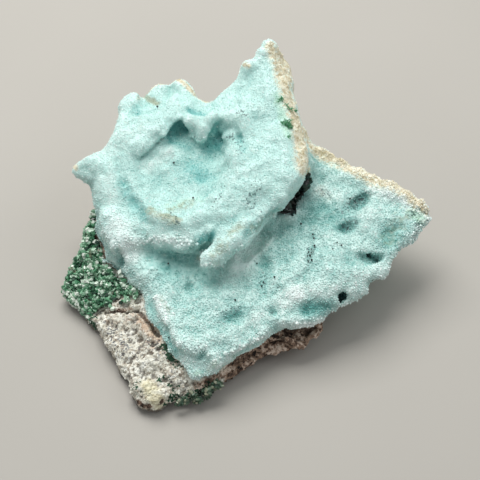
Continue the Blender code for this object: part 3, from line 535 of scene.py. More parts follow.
# Crystals of the druses: stubs are (sides, girth, height) and prisms (sides, girth, shoulder, tip's height)
QUARTZ_STUBS = [(6, 0.5, 0.55), (5, 0.5, 0.65), (4, 0.48, 0.6)]
QUARTZ_PRISM = (5, 0.42, 0.4, 0.3)

# Crystals of the malachite: blocks are (sides, girth, top, height, width)
GREEN_BLOCKS = [(4, 0.42, 0.3, 0.9, 1.0), (4, 0.5, 0.36, 0.6, 1.5), (6, 0.42, 0.3, 0.9, 0.8)]
GREEN_PRISM = (4, 0.4, 0.6, 0.45)

# Share of its height by which a crystal is sunk in its ground
PRISM_SINK = 0.6
STUB_SINK = 0.35
BLOCK_SINK = 0.4
PRISM_TAPER = 0.92
TIP_SHIFT = 0.1

# Chips of rock
CHIP_RADIUS = 0.5
CHIP_CORNERS = (0.72, 1.25)
CHIP_WIDTHS = (0.7, 1.0)
CHIP_FLATNESS = (0.45, 0.6, 0.8)

# Points tried on each square that is as wide as the spacing
TRIED_POINTS = 2

# Druses on the crust: (piece, measure that thins it, spacing, sizes, lean, seed)
DRUSES = [
    ("upper_druse", "fine_share", 0.28, (0.26, 0.46), 0.3, 100),
    ("lower_druse", "coarse_share", 0.32, (0.32, 0.64), 0.4, 200),
    ("lip_druse", "lip", 0.5, (0.55, 1.05), 0.7, 700),
]
ROCK_GRAINS = ("rock_grains", "bare", 0.5, (0.2, 0.62), 0.5, 300)
MALACHITE_LEAN = 0.7

# Light that spreads a little way under an icy surface
ICY = {"Subsurface_Weight": 0.5, "Subsurface_Scale": 0.0006, "Subsurface_Radius": (0.92, 1.0, 1.0)}

# Materials of the druses: (name, roughness, tone, difference of tone from crystal to crystal)
DRUSE_LOOKS = [
    ("fine_druse", 0.27, 0.65, 0.34),
    ("coarse_druse", 0.26, 0.57, 0.06),
    ("icy_druse", 0.2, 0.7, 0.2),
]
CRUST_TONE = 0.6
CRUST_CONTRAST = 0.15
# Painted glints: how much brighter a few crystals are, and the chances between which that comes in
PAINTED_GLINT_TONE = 0.2
PAINTED_GLINT_RANGE = (0.9, 0.95)

# Colours are screen values of 0 to 255, and a ramp has stops of (place, colour)
UPPER_RAMP = [
    (0.0, (50, 124, 122)), (0.25, (108, 178, 174)), (0.5, (172, 216, 210)), (0.75, (204, 238, 232)),
    (1.0, (228, 249, 244)),
]
LOWER_RAMP = [
    (0.0, (34, 112, 108)), (0.25, (92, 160, 154)), (0.5, (158, 203, 197)), (0.75, (200, 230, 224)),
    (1.0, (234, 250, 246)),
]
SAND_RAMP = [(0.26, (124, 108, 92)), (0.38, (188, 181, 166)), (0.5, (219, 218, 204)), (0.72, (243, 244, 236))]
BROWN_RAMP = [(0.35, (18, 13, 10)), (0.42, (80, 61, 49)), (0.5, (154, 128, 108)), (0.59, (218, 200, 184))]
TAN_GRAINS = ((190, 174, 134), (243, 238, 214))
FLOOR_COLOURS = ((166, 163, 156), (174, 171, 164))
NEEDLE_COLOURS = ((26, 112, 68), (116, 186, 138))
DARK_GRAIN_COLOURS = ((10, 18, 18), (34, 50, 46))

# Coats over another colour: (colour, raggedness of the edge, measure where it starts, measure where it is
# full, how far it covers). The tan rims and the brown rock bring colours of their own.
MINT_COAT = ((176, 222, 184), 0.6, 0.1, 0.9, 0.6)
HAZE_COAT = ((226, 236, 220), 0.3, 0.0, 0.45, 0.55)
# The stain coat also lays grey painted shade
STAIN_AND_SHADE_COAT = ((150, 152, 120), 1.0, 0.1, 0.8, 0.75)
# The pit coat is painted shade
PIT_SHADE_COAT = ((22, 50, 52), 0.5, 0.25, 0.95, 1.0)
PINK_COAT = ((190, 156, 126), 3.2, 0.35, 1.1, 0.65)
YELLOW_COAT = ((226, 220, 178), 0.6, 0.3, 0.8, 0.6)
# The cavity coat is painted shade, over the brown that lies between the rock's grains
CAVITY_COAT = ((62, 48, 38), 1.0, 0.52, 0.76, 0.7)
GREEN_COAT = ((40, 78, 56), 0.8, 0.4, 0.55, 1.0)
TAN_COAT = (1.0, 0.35, 1.0, 0.9)
BROWN_COAT = (0.6, 0.25, 0.7, 1.0)

# Small specks in the crust and the rock
SPECK_SIZE = 0.3
SPECK_COVER = 0.75
CRUST_SPECK = (82, 112, 112)
CRUST_SPECK_SHARE = 0.3
CRUST_SPECKS = (1.02, 1.08)
ROCK_SPECK = (88, 92, 102)
ROCK_SPECKS = (0.68, 0.76)

# Noises of the materials: (size, detail)
MOTTLE = (0.9, 3.0)
ROCK_BUMP_NOISE = (0.35, 3.0)
DUST_NOISE = (1.4, 3.0)
BROWN_NOISE = (2.6, 3.0)

# Sizes of what varies in the crust's colour, and how much it does
CLOUD_SIZE = 5.0
CLOUD_TONE = 0.16
FLECK_SIZE = 1.6
FLECK_TONE = 0.12
LOWER_FLECK_TONE = 0.1
# Hollows made deeper blue-green and crests whiter: own colour together with painted shade and light
HOLLOW_TONE_AND_SHADE = 0.35
LOWER_HOLLOW_TONE_AND_SHADE = 0.2
RIM_CRUMB_SIZE = 0.45
RIM_CRUMBS = 0.5
RIM_MOTTLE = 1.2
TAN_GRAIN_SIZE = 0.5
PIT_GRAIN_SIZE = 0.4
CRUST_GRAIN_SIZE = 0.4
CRUST_CELL_SIZE = 0.32

# Sizes of what varies in the other colours
GREEN_GROUP_SIZE = 2.6
SAND_GRAIN_SIZE = 0.5
PATCH_SIZE = 4.0
MOSS_GRAIN_SIZE = 0.4
FLOOR_PATCH_SIZE = 60.0
NEEDLE_PATCH_SIZE = 0.4
DARK_PATCH_SIZE = 0.3

# Weights of what makes the rock's colours
SAND_WEIGHTS = (0.3, 0.4, 0.3)
BROWN_WEIGHTS = (0.35, 0.5, 0.15)
ROCK_SPECK_WEIGHTS = (0.5, 0.4, 0.22)
CAVITY_WEIGHTS = (0.3, 0.5)

# Bumps: (depth, strength)
CRUST_BUMP = (0.12, 0.6)
ROCK_BUMP = (0.2, 0.7)

# Colours of the malachite from nearly black to frosted: places in its ramp, weights of what picks the place
MALACHITE_PLACES = (0.28, 0.43, 0.6, 0.73)
# The last weight darkens the bed's hollows, which is painted shade
MALACHITE_WEIGHTS = (0.45, 0.3, 0.25, -0.5)
DUSTY = (0.64, 0.7)
DUST_COVER = 0.6
BED_TONE = 0.25
BED_TONE_LUMPS = [(0.2, 0.7, 4.0)]

# Kinds of malachite: (material, colours, dust, roughness, refraction)
FRESH_GREENS = ((18, 56, 38), (74, 136, 98), (148, 190, 160), (224, 234, 222))
# The tuft's near-black greens are its own dark green with painted shade of the gap under the ledge
BLACK_AND_SHADED_GREENS = ((2, 4, 4), (5, 9, 8), (14, 26, 20), (44, 62, 50))
FADED_GREENS = ((16, 38, 28), (40, 74, 54), (86, 108, 86), (150, 154, 130))
FRESH = ("malachite", FRESH_GREENS, (150, 140, 120), 0.3, 1.65)
BLACK_AND_SHADED = ("dark_malachite", BLACK_AND_SHADED_GREENS, (20, 30, 24), 0.2, 1.45)
FADED = ("dusty_malachite", FADED_GREENS, (160, 146, 124), 0.4, 1.6)

# Patches of malachite: (solid, crystals, slot, kind, spacing, sizes, seed, relief)
MALACHITE_PATCHES = [
    ("malachite_crust", "malachite", "malachite", FRESH, 0.32, (0.26, 1.05), 400, []),
    ("malachite_tuft", "tuft", "dark_malachite", BLACK_AND_SHADED, 0.6, (0.6, 1.2), 500, TUFT_RELIEF),
    ("malachite_front_patch", "front_patch", "malachite", FADED, 0.45, (0.4, 0.85), 600, []),
]

# Single dark grains that sit in the crust, their radii, and how high their middles lie
DARK_GRAINS = [
    (168, 264), (174, 163), (193, 199), (337, 243), (333, 250), (256, 264), (264, 283), (275, 278),
    (262, 287), (313, 235), (314, 239), (315, 246), (311, 250), (308, 253), (311, 254), (310, 257),
    (307, 257), (312, 261), (308, 262), (301, 225), (341, 246), (170, 338), (158, 108), (171, 214),
    (176, 218), (235, 301), (349, 199),
]
DARK_GRAIN_RADII = (0.14, 0.24)
DARK_GRAIN_LIFT = 0.22
DARK_GRAIN_SHOWN = 0.4

# Sprays of green needles near the spire's edge: (spot, needles, length)
SPRAYS = [
    ((281, 99), 12, 0.95),
    ((278, 102), 6, 0.6),
    ((286, 105), 8, 0.7),
    ((288, 109), 8, 0.8),
    ((291, 110), 8, 0.8),
    ((295, 111), 8, 0.7),
    ((287, 124), 26, 1.4),
    ((290, 127), 18, 1.2),
    ((283, 123), 10, 1.0),
    ((289, 137), 7, 0.6),
]

# Needles: their sides, their radii, how far they rise and spread, and how they are strewn
NEEDLE_SIDES = 5
NEEDLE_FOOT = 0.1
NEEDLE_TIP = 0.05
NEEDLE_RISE = 0.5
NEEDLE_SPREAD = 1.3
NEEDLE_SCATTER = 0.35
NEEDLE_LENGTHS = (0.6, 1.0)
NEEDLE_SHOWN = 0.25

# Stage in metres: the floor, and lamps as (name, place, size, power, colour)
FLOOR_SIZE = 3.0
LAMPS = [
    ("key", (-0.09, 0.22, 0.4), 0.34, 2.5, (1.0, 0.985, 0.965)),
    ("side", (0.35, 0.05, 0.35), 0.3, 0.4, (0.97, 0.99, 1.0)),
]
FILL_COLOUR = (0.96, 0.98, 1.0, 1.0)
FILL_STRENGTH = 0.4

# Sockets of a Mix node for colours
MIX_FACTOR, MIX_FIRST, MIX_SECOND, MIX_RESULT = 0, 6, 7, 2


class Reading:
    """One output of a node, so that node maths can be written as a plain expression."""

    def __init__(self, plan, socket):
        self.plan = plan
        self.socket = socket

    def other(self, name):
        """Another output of the same node."""
        return Reading(self.plan, self.socket.node.outputs[name])

    def __add__(self, value):
        return self.plan.maths("ADD", self, value)

    def __radd__(self, value):
        return self.plan.maths("ADD", value, self)

    def __sub__(self, value):
        return self.plan.maths("SUBTRACT", self, value)

    def __rsub__(self, value):
        return self.plan.maths("SUBTRACT", value, self)

    def __mul__(self, value):
        return self.plan.maths("MULTIPLY", self, value)

    def __rmul__(self, value):
        return self.plan.maths("MULTIPLY", value, self)


def weighed(readings, weights):
    """Readings added up, each times its weight."""
    return sum(reading * weight for reading, weight in zip(readings, weights))


class Plan:
    """A node tree in the making."""

    def __init__(self, tree):
        self.tree = tree

    def add(self, kind, settings=None, inputs=None, output=0):
        """A new node of a kind: its settings first, then its sockets' values or links."""
        node = self.tree.nodes.new(kind)
        for name, value in (settings or {}).items():
            if name == "stops":
                set_stops(node.color_ramp, value)
            else:
                setattr(node, name, value)
        for name, value in (inputs or {}).items():
            self.feed(node.inputs[name], value)
        return Reading(self, node.outputs[output]) if len(node.outputs) else None

    def feed(self, socket, value):
        """Links a reading to a socket, or sets the socket to a value."""
        if isinstance(value, Reading):
            self.tree.links.new(value.socket, socket)
        else:
            socket.default_value = value

    def maths(self, operation, first, second):
        return self.add("ShaderNodeMath", {"operation": operation}, {0: first, 1: second})


def set_stops(ramp, stops):
    """Gives a colour ramp its stops, each a place and a colour."""
    while len(ramp.elements) < len(stops):
        ramp.elements.new(1.0)
    for element, (place, colour) in zip(ramp.elements, stops):
        element.position = place
        element.color = colour


def paint(red, green, blue):
    """A colour from its screen values of 0 to 255, as the linear colour that Blender mixes in."""
    shares = [value / 255 for value in (red, green, blue)]
    linear = [s / 12.92 if s <= 0.04045 else ((s + 0.055) / 1.055) ** 2.4 for s in shares]
    return (*linear, 1.0)


class Finish(Plan):
    """A material round one Principled shader."""

    def __init__(self, name, **constants):
        self.material = bpy.data.materials.new(name)
        self.material.use_nodes = True
        super().__init__(self.material.node_tree)
        self.shader = self.tree.nodes["Principled BSDF"]
        self.coordinates = self.add("ShaderNodeTexCoord", output="Object")
        for socket, value in constants.items():
            self.shader.inputs[socket.replace("_", " ")].default_value = value

    def set(self, name, value):
        self.feed(self.shader.inputs[name], value)

    def attribute(self, name):
        """A measure that was stored on the mesh, from 0 to 1."""
        return self.add("ShaderNodeAttribute", {"attribute_name": name}, output="Fac")

    def noise(self, size, detail=2.0):
        """Soft noise whose lumps are about that many millimetres across."""
        inputs = {"Vector": self.coordinates, "Scale": 1 / (size * MM), "Detail": detail}
        return self.add("ShaderNodeTexNoise", None, inputs, "Fac")

    def cells(self, size, output):
        inputs = {"Vector": self.coordinates, "Scale": 1 / (size * MM)}
        return self.add("ShaderNodeTexVoronoi", None, inputs, output)

    def grains(self, size):
        """Cells of about that many millimetres, each with a random value."""
        return self.add("ShaderNodeSeparateColor", None, {"Color": self.cells(size, "Color")})

    def step(self, value, low, high):
        """0 below low, 1 above high and smooth between."""
        settings = {"interpolation_type": "SMOOTHSTEP"}
        return self.add("ShaderNodeMapRange", settings, {"Value": value, "From Min": low, "From Max": high})

    def blend(self, factor, first, second):
        """A colour between two colours, which are readings or screen values."""
        first, second = (value if isinstance(value, Reading) else paint(*value) for value in (first, second))
        settings = {"data_type": "RGBA", "clamp_factor": True}
        inputs = {MIX_FACTOR: factor, MIX_FIRST: first, MIX_SECOND: second}
        return self.add("ShaderNodeMix", settings, inputs, MIX_RESULT)

    def coated(self, colour, measure, noise, top, raggedness, low, high, cover):
        """A colour with a coat on top of it where a stored measure is high. A noise makes its edge ragged."""
        share = self.step(self.attribute(measure) + noise * raggedness, low, high) * cover
        return self.blend(share, colour, top)

    def ramp(self, value, stops):
        painted = [(place, paint(*colour)) for place, colour in stops]
        return self.add("ShaderNodeValToRGB", {"stops": painted}, {"Fac": value})

    def bump(self, height, depth, strength):
        inputs = {"Height": height, "Distance": depth * MM, "Strength": strength}
        self.set("Normal", self.add("ShaderNodeBump", None, inputs))


# Camera and places

def camera_axes():
    """The camera's way back from its target, and its own up."""
    back = Vector((0, -math.cos(CAMERA_ELEVATION), math.sin(CAMERA_ELEVATION)))
    up = Vector((0, math.sin(CAMERA_ELEVATION), math.cos(CAMERA_ELEVATION)))
    return back, up


def line_of_sight(spot):
    """Where the camera is, and the direction in which it sees a spot."""
    back, up = camera_axes()
    pixel = SENSOR / LENS / PHOTO_SIDE
    across = (spot[0] - PHOTO_SIDE / 2) * pixel
    rise = (PHOTO_SIDE / 2 - spot[1]) * pixel
    return CAMERA_TARGET + back * CAMERA_DISTANCE, Vector((across, 0, 0)) + up * rise - back


def place_at(spot, height):
    """The point at a height that the camera sees at a spot."""
    start, direction = line_of_sight(spot)
    return start + direction * ((height - start.z) / direction.z)


def make_camera():
    back, _ = camera_axes()
    lens = bpy.data.cameras.new("camera")
    lens.lens = LENS
    lens.sensor_width = SENSOR
    camera = bpy.data.objects.new("camera", lens)
    bpy.context.scene.collection.objects.link(camera)
    camera.location = (CAMERA_TARGET + back * CAMERA_DISTANCE) * MM
    camera.rotation_euler = back.to_track_quat("Z", "Y").to_euler()
    bpy.context.scene.camera = camera


# Skins

def new_piece(mesh, name):
    piece = bpy.data.objects.new(name, mesh)
    bpy.context.scene.collection.objects.link(piece)
    return piece


def applied(piece):
    """The piece with its modifiers worked into its mesh."""
    shapes = bpy.context.evaluated_depsgraph_get()
    mesh = bpy.data.meshes.new_from_object(
        piece.evaluated_get(shapes), preserve_all_data_layers=True, depsgraph=shapes
    )
    piece.modifiers.clear()
    mesh.name = piece.name
    piece.data = mesh
    return piece


def written(shape, name):
    """The shape, worked in millimetres, as a mesh in metres."""
    mesh = bpy.data.meshes.new(name)
    bmesh.ops.scale(shape, verts=shape.verts, vec=(MM, MM, MM))
    bmesh.ops.recalc_face_normals(shape, faces=shape.faces)
    shape.to_mesh(mesh)
    shape.free()
    return mesh


def fine_skin(node, name, voxel):
    """A fine closed mesh over a CAD solid."""
    mesh = frame["nodes"][node].data.copy()
    mesh.materials.clear()
    shape = bmesh.new()
    shape.from_mesh(mesh)
    bmesh.ops.remove_doubles(shape, verts=shape.verts, dist=MERGED * MM)
    shape.to_mesh(mesh)
    shape.free()
    piece = new_piece(mesh, name)
    remesh = piece.modifiers.new("remesh", "REMESH")
    remesh.mode = "VOXEL"
    remesh.voxel_size = voxel * MM
    return applied(piece)


class Skin:
    """The points of a fine mesh in millimetres, and which of them are neighbours, for sculpting it."""

    def __init__(self, piece, rounds):
        """Takes a piece's mesh, and smooths it for so many rounds."""
        self.mesh = piece.data
        count = len(self.mesh.vertices)
        self.points = self.read("co", count) / MM
        ends = np.empty(len(self.mesh.edges) * 2, np.int32)
        self.mesh.edges.foreach_get("vertices", ends)
        self.links = ends.reshape(-1, 2)
        self.neighbours = np.bincount(ends, minlength=count).astype(float)
        self.surface = None
        self.points = self.smoothed(rounds)
        self.write()

    def read(self, name, count):
        values = np.empty(count * 3, np.float32)
        self.mesh.vertices.foreach_get(name, values)
        return values.reshape(-1, 3).astype(float)

    def averaged(self, values, rounds):
        """Values that are drawn towards those of their neighbours, round after round."""
        first, second = self.links.T
        count = len(values)
        for _ in range(rounds):
            near = np.bincount(first, values[second], count) + np.bincount(second, values[first], count)
            values = (values + near / self.neighbours) / 2
        return values

    def smoothed(self, rounds):
        return np.stack([self.averaged(self.points[:, axis], rounds) for axis in range(3)], axis=1)

    def write(self):
        self.mesh.vertices.foreach_set("co", (self.points * MM).astype(np.float32).ravel())
        self.mesh.update()

    def normals(self):
        return self.read("normal", len(self.points))

    def push(self, heights):
        """Moves each point along its normal."""
        self.points += self.normals() * heights[:, None]
        self.write()

    def hollowness(self, rounds):
        """How far each point lies under the mean level round it. It is negative on a crest."""
        return ((self.smoothed(rounds) - self.points) * self.normals()).sum(axis=1)

    def field(self, size, start=0.0):
        """Noise from -1 to 1 at each point, with lumps of about a size."""
        offset = Vector((start, start * 0.7, start * 1.3))
        return np.array([noise.noise(Vector(point) / size + offset) for point in self.points])

    def lumps(self, rows):
        """Noises added up, each with a height, a size and a place in the noise."""
        return sum(height * self.field(size, start) for height, size, start in rows)

    def survey(self):
        """Takes the surface as it is now for the one that spots are found on."""
        faces = [tuple(face.vertices) for face in self.mesh.polygons]
        self.surface = BVHTree.FromPolygons([Vector(point) for point in self.points], faces)

    def distance(self, start_spot, end_spot):
        """Distance of each point from a straight line between the places of two spots."""
        start, end = (seen(self.surface, spot)[0] for spot in (start_spot, end_spot))
        line = np.array(end - start)
        along = (self.points - np.array(start)) @ line / max(line @ line, 1e-9)
        nearest = np.array(start) + np.clip(along, 0, 1)[:, None] * line
        return np.linalg.norm(self.points - nearest, axis=1)

    def reach(self, start_spot, end_spot, radius):
        """1 on the line between two spots, falling smoothly to 0 beside it."""
        return dome(self.distance(start_spot, end_spot), radius * SPOT_REACH)

    def added(self, values, spots):
        """Values to which each spot adds its own height or change."""
        for start_spot, end_spot, radius, change in spots:
            values = values + change * self.reach(start_spot, end_spot, radius)
        return values

    def strongest(self, spots):
        """Strength of the strongest spot at each point."""
        values = np.zeros(len(self.points))
        for start_spot, end_spot, radius, strength in spots:
            values = np.maximum(values, strength * self.reach(start_spot, end_spot, radius))
        return values

    def store(self, name, values):
        layer = self.mesh.attributes.new(name, "FLOAT", "POINT")
        layer.data.foreach_set("value", np.clip(values, 0, 1).astype(np.float32))


def rounded_step(values, low, high):
    """0 below low, 1 above high and smooth between."""
    share = np.clip((values - low) / (high - low), 0, 1)
    return share * share * (3 - 2 * share)


def dome(distances, radius):
    """1 in the middle of a spot, falling smoothly to 0 at its radius."""
    return np.clip(1 - (distances / radius) ** 2, 0, 1) ** 2


def whole(spots):
    """The spots at full strength."""
    return [(*spot[:3], 1.0) for spot in spots]


def seen(surface, spot):
    """The point that the camera sees at a spot, or the surface's nearest one to it, and the normal there."""
    start, direction = line_of_sight(spot)
    point, normal, _, _ = surface.ray_cast(start, direction)
    if point is None:
        nearby = [surface.find_nearest(place_at(spot, height)) for height in EDGE_HEIGHTS]
        point, normal, _, _ = min(nearby, key=lambda found: found[3])
    return point, normal


# Crystals

def closed_cone(sides, base, top, height, sink):
    """A small closed prism or point whose foot is sunk below its origin."""
    shape = bmesh.new()
    bmesh.ops.create_cone(
        shape, cap_ends=True, cap_tris=False, segments=sides, radius1=base, radius2=top, depth=height
    )
    bmesh.ops.translate(shape, verts=shape.verts, vec=(0, 0, height / 2 - sink))
    return shape


def quartz_point(sides, girth, shoulder, height):
    """A short prism that ends in a point."""
    shape = closed_cone(sides, girth, girth * PRISM_TAPER, shoulder, shoulder * PRISM_SINK)
    top = max(shape.faces, key=lambda face: face.calc_center_median().z)
    middle = top.calc_center_median()
    tip = bmesh.ops.poke(shape, faces=[top])["verts"]
    bmesh.ops.translate(shape, verts=tip, vec=(middle.x * TIP_SHIFT, middle.y * TIP_SHIFT, height))
    return shape


def stub_point(sides, girth, height):
    """A low point without a prism."""
    return closed_cone(sides, girth, 0.0, height, height * STUB_SINK)


def block(sides, girth, top, height, width):
    """A blunt block, wider one way than the other."""
    shape = closed_cone(sides, girth, top, height, height * BLOCK_SINK)
    bmesh.ops.scale(shape, verts=shape.verts, vec=(width, 1.0, 1.0))
    return shape


def chip(generator, flatness):
    """An irregular grain of rock."""
    shape = bmesh.new()
    bmesh.ops.create_icosphere(shape, subdivisions=1, radius=CHIP_RADIUS)
    for corner in shape.verts:
        corner.co *= generator.uniform(*CHIP_CORNERS)
    bmesh.ops.scale(shape, verts=shape.verts, vec=(1.0, generator.uniform(*CHIP_WIDTHS), flatness))
    return shape


def shape_collection(name, shapes):
    """The shapes as a collection that points are dressed with."""
    collection = bpy.data.collections.new(name)
    for number, shape in enumerate(shapes):
        mesh = written(shape, f"{name}_{number}")
        collection.objects.link(bpy.data.objects.new(mesh.name, mesh))
    return collection


def random_value(plan, kind, low, high, seed):
    """A random value for each point. The node has two sockets for vectors first, and then two for numbers."""
    first, output = (0, 0) if kind == "FLOAT_VECTOR" else (2, 1)
    inputs = {first: low, first + 1: high, "Seed": seed}
    return plan.add("FunctionNodeRandomValue", {"data_type": kind}, inputs, output)


def scattered(name, share, spacing, sizes, lean, seed, ground, shapes):
    """One mesh of many small crystals that stand on a ground piece, thinned where its share is low."""
    tree = bpy.data.node_groups.new(name, "GeometryNodeTree")
    tree.interface.new_socket("Geometry", in_out="INPUT", socket_type="NodeSocketGeometry")
    tree.interface.new_socket("Geometry", in_out="OUTPUT", socket_type="NodeSocketGeometry")
    plan = Plan(tree)
    ground_mesh = plan.add("NodeGroupInput")
    density = plan.add("GeometryNodeInputNamedAttribute", {"data_type": "FLOAT"}, {"Name": share})
    points = plan.add(
        "GeometryNodeDistributePointsOnFaces",
        {"distribute_method": "POISSON"},
        {"Mesh": ground_mesh, "Distance Min": spacing * MM, "Density Max": TRIED_POINTS / (spacing * MM) ** 2,
         "Density Factor": density, "Seed": seed},
    )
    most = (lean, lean, math.pi)
    least = tuple(-angle for angle in most)
    angles = random_value(plan, "FLOAT_VECTOR", least, most, seed + 1)
    turn = plan.add("FunctionNodeEulerToRotation", None, {"Euler": angles})
    rotation = plan.add(
        "FunctionNodeRotateRotation", {"rotation_space": "LOCAL"},
        {"Rotation": points.other("Rotation"), "Rotate By": turn},
    )
    kinds = plan.add(
        "GeometryNodeCollectionInfo", {"transform_space": "ORIGINAL"},
        {"Collection": shapes, "Separate Children": True, "Reset Children": True},
    )
    crystals = plan.add(
        "GeometryNodeInstanceOnPoints", None,
        {"Points": points, "Instance": kinds, "Pick Instance": True, "Rotation": rotation,
         "Scale": random_value(plan, "FLOAT", *sizes, seed + 2)},
    )
    marked = plan.add(
        "GeometryNodeStoreNamedAttribute", {"data_type": "FLOAT", "domain": "INSTANCE"},
        {"Geometry": crystals, "Name": "chance", "Value": random_value(plan, "FLOAT", 0.0, 1.0, seed + 3)},
    )
    plan.add("NodeGroupOutput", None, {0: plan.add("GeometryNodeRealizeInstances", None, {0: marked})})
    return grown(name, ground, tree, shapes)


def grown(name, ground, tree, shapes):
    """The crystals that a node tree grows on the ground piece, as a piece of their own."""
    piece = new_piece(ground.data.copy(), name)
    piece.modifiers.new("grow", "NODES").node_group = tree
    applied(piece)
    piece.data.materials.clear()
    piece.data.polygons.foreach_set("use_smooth", [False] * len(piece.data.polygons))
    for shape in list(shapes.objects):
        bpy.data.objects.remove(shape)
    bpy.data.collections.remove(shapes)
    bpy.data.node_groups.remove(tree)
    return piece


# Materials

def chrysocolla_colour(finish, tone):
    """Blue-green to near white, tan on the broken rims, stains, and painted light and shade."""
    lower = finish.attribute("lower")
    clouds = (finish.noise(CLOUD_SIZE) - MIDDLE) * CLOUD_TONE
    flecks = (finish.noise(FLECK_SIZE) - MIDDLE) * (FLECK_TONE + lower * LOWER_FLECK_TONE)
    # Deeper blue-green in hollows and whiter on crests: own colour together with painted shade and light
    hollow = (finish.attribute("hollow") - MIDDLE) * (HOLLOW_TONE_AND_SHADE + lower * LOWER_HOLLOW_TONE_AND_SHADE)
    # The stored tone carries the painted shade and painted light of the tints
    tone = tone + finish.attribute("tone") - MIDDLE + clouds + flecks - hollow
    colour = finish.blend(lower, finish.ramp(tone, UPPER_RAMP), finish.ramp(tone, LOWER_RAMP))
    mottle = finish.noise(*MOTTLE) - MIDDLE
    ragged = mottle * RIM_MOTTLE + (finish.grains(RIM_CRUMB_SIZE) - MIDDLE) * RIM_CRUMBS
    tan = finish.blend(finish.grains(TAN_GRAIN_SIZE), *TAN_GRAINS)
    colour = finish.coated(colour, "mint", mottle, *MINT_COAT)
    colour = finish.coated(colour, "tan", ragged, *HAZE_COAT)
    colour = finish.coated(colour, "tan", ragged, tan, *TAN_COAT)
    # Stains, and grey painted shade on the ledge's right edge and the lower plate's right slope
    colour = finish.coated(colour, "stain", mottle, *STAIN_AND_SHADE_COAT)
    speckled = finish.grains(SPECK_SIZE) + finish.attribute("speckled") * CRUST_SPECK_SHARE
    colour = finish.blend(finish.step(speckled, *CRUST_SPECKS) * SPECK_COVER, colour, CRUST_SPECK)
    # Painted shade in the pits and under the bowl's back rim
    return finish.coated(colour, "dark", finish.grains(PIT_GRAIN_SIZE) - MIDDLE, *PIT_SHADE_COAT)


def crust_material():
    """The blue-green ground under the druse."""
    finish = Finish("chrysocolla", Roughness=0.45, IOR=1.5, **ICY)
    tone = CRUST_TONE + (finish.grains(CRUST_GRAIN_SIZE) - MIDDLE) * CRUST_CONTRAST
    finish.set("Base Color", chrysocolla_colour(finish, tone))
    finish.bump(finish.cells(CRUST_CELL_SIZE, "Distance"), *CRUST_BUMP)
    return finish.material


def druse_material(name, roughness, tone, contrast):
    """Tiny clear quartz points over the blue-green ground, a few of them brighter than the rest as painted
    glints.
    """
    finish = Finish(name, Roughness=roughness, IOR=1.54, **ICY)
    chance = finish.attribute("chance")
    painted_glint = finish.step(chance, *PAINTED_GLINT_RANGE) * PAINTED_GLINT_TONE
    finish.set("Base Color", chrysocolla_colour(finish, tone + (chance - MIDDLE) * contrast + painted_glint))
    return finish.material


def malachite_material(name, colours, dust, roughness, refraction):
    """Green glassy crystals from nearly black to frosted, in small groups of like colour, dusty in places."""
    finish = Finish(name, Roughness=roughness, IOR=refraction)
    noises = [finish.noise(*MOTTLE), finish.noise(GREEN_GROUP_SIZE)]
    # The bed's hollows are darker: painted shade
    causes = [finish.attribute("chance"), *noises, finish.attribute("hollow") - MIDDLE]
    green = finish.ramp(weighed(causes, MALACHITE_WEIGHTS), zip(MALACHITE_PLACES, colours))
    dusty = finish.step(finish.noise(*DUST_NOISE), *DUSTY) * DUST_COVER
    finish.set("Base Color", finish.blend(dusty, green, dust))
    return finish.material


def rock_material(name, mixed):
    """Sandy rock: cream, tan and brown grains with grey-blue and black specks."""
    finish = Finish(name, Roughness=0.85, IOR=1.5)
    grain = finish.attribute("chance") if mixed else finish.grains(SAND_GRAIN_SIZE)
    patch = finish.noise(PATCH_SIZE)
    mottle = finish.noise(*MOTTLE)
    uneven = mottle - MIDDLE
    colour = finish.ramp(weighed([grain, mottle, patch], SAND_WEIGHTS), SAND_RAMP)
    colour = finish.coated(colour, "pink", uneven, *PINK_COAT)
    colour = finish.coated(colour, "yellow", patch - MIDDLE, *YELLOW_COAT)
    speckled = weighed([finish.grains(SPECK_SIZE), mottle, finish.attribute("grey")], ROCK_SPECK_WEIGHTS)
    colour = finish.blend(finish.step(speckled, *ROCK_SPECKS) * SPECK_COVER, colour, ROCK_SPECK)
    brown = finish.ramp(weighed([mottle, finish.noise(*BROWN_NOISE), grain], BROWN_WEIGHTS), BROWN_RAMP)
    colour = finish.coated(colour, "brown", uneven, brown, *BROWN_COAT)
    # Painted shade in the rock's hollows, along its foot and just under the crust, over its brown between
    # grains
    colour = finish.coated(colour, "cavity", weighed([uneven, patch - MIDDLE], CAVITY_WEIGHTS), *CAVITY_COAT)
    colour = finish.coated(colour, "green", finish.grains(MOSS_GRAIN_SIZE) - MIDDLE, *GREEN_COAT)
    finish.set("Base Color", colour)
    finish.bump(finish.noise(*ROCK_BUMP_NOISE), *ROCK_BUMP)
    return finish.material


def two_toned(name, roughness, size, colours, **constants):
    """A material whose colour wanders between two, in patches of a size."""
    finish = Finish(name, Roughness=roughness, **constants)
    finish.set("Base Color", finish.blend(finish.noise(size), *colours))
    return finish.material


# Pieces

def finished(piece, material, slot, *nodes):
    """Dresses a piece, and ties it to the model."""
    piece.data.materials.clear()
    piece.data.materials.append(material)
    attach(piece, "root")
    if nodes:
        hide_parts(*nodes)
    return piece


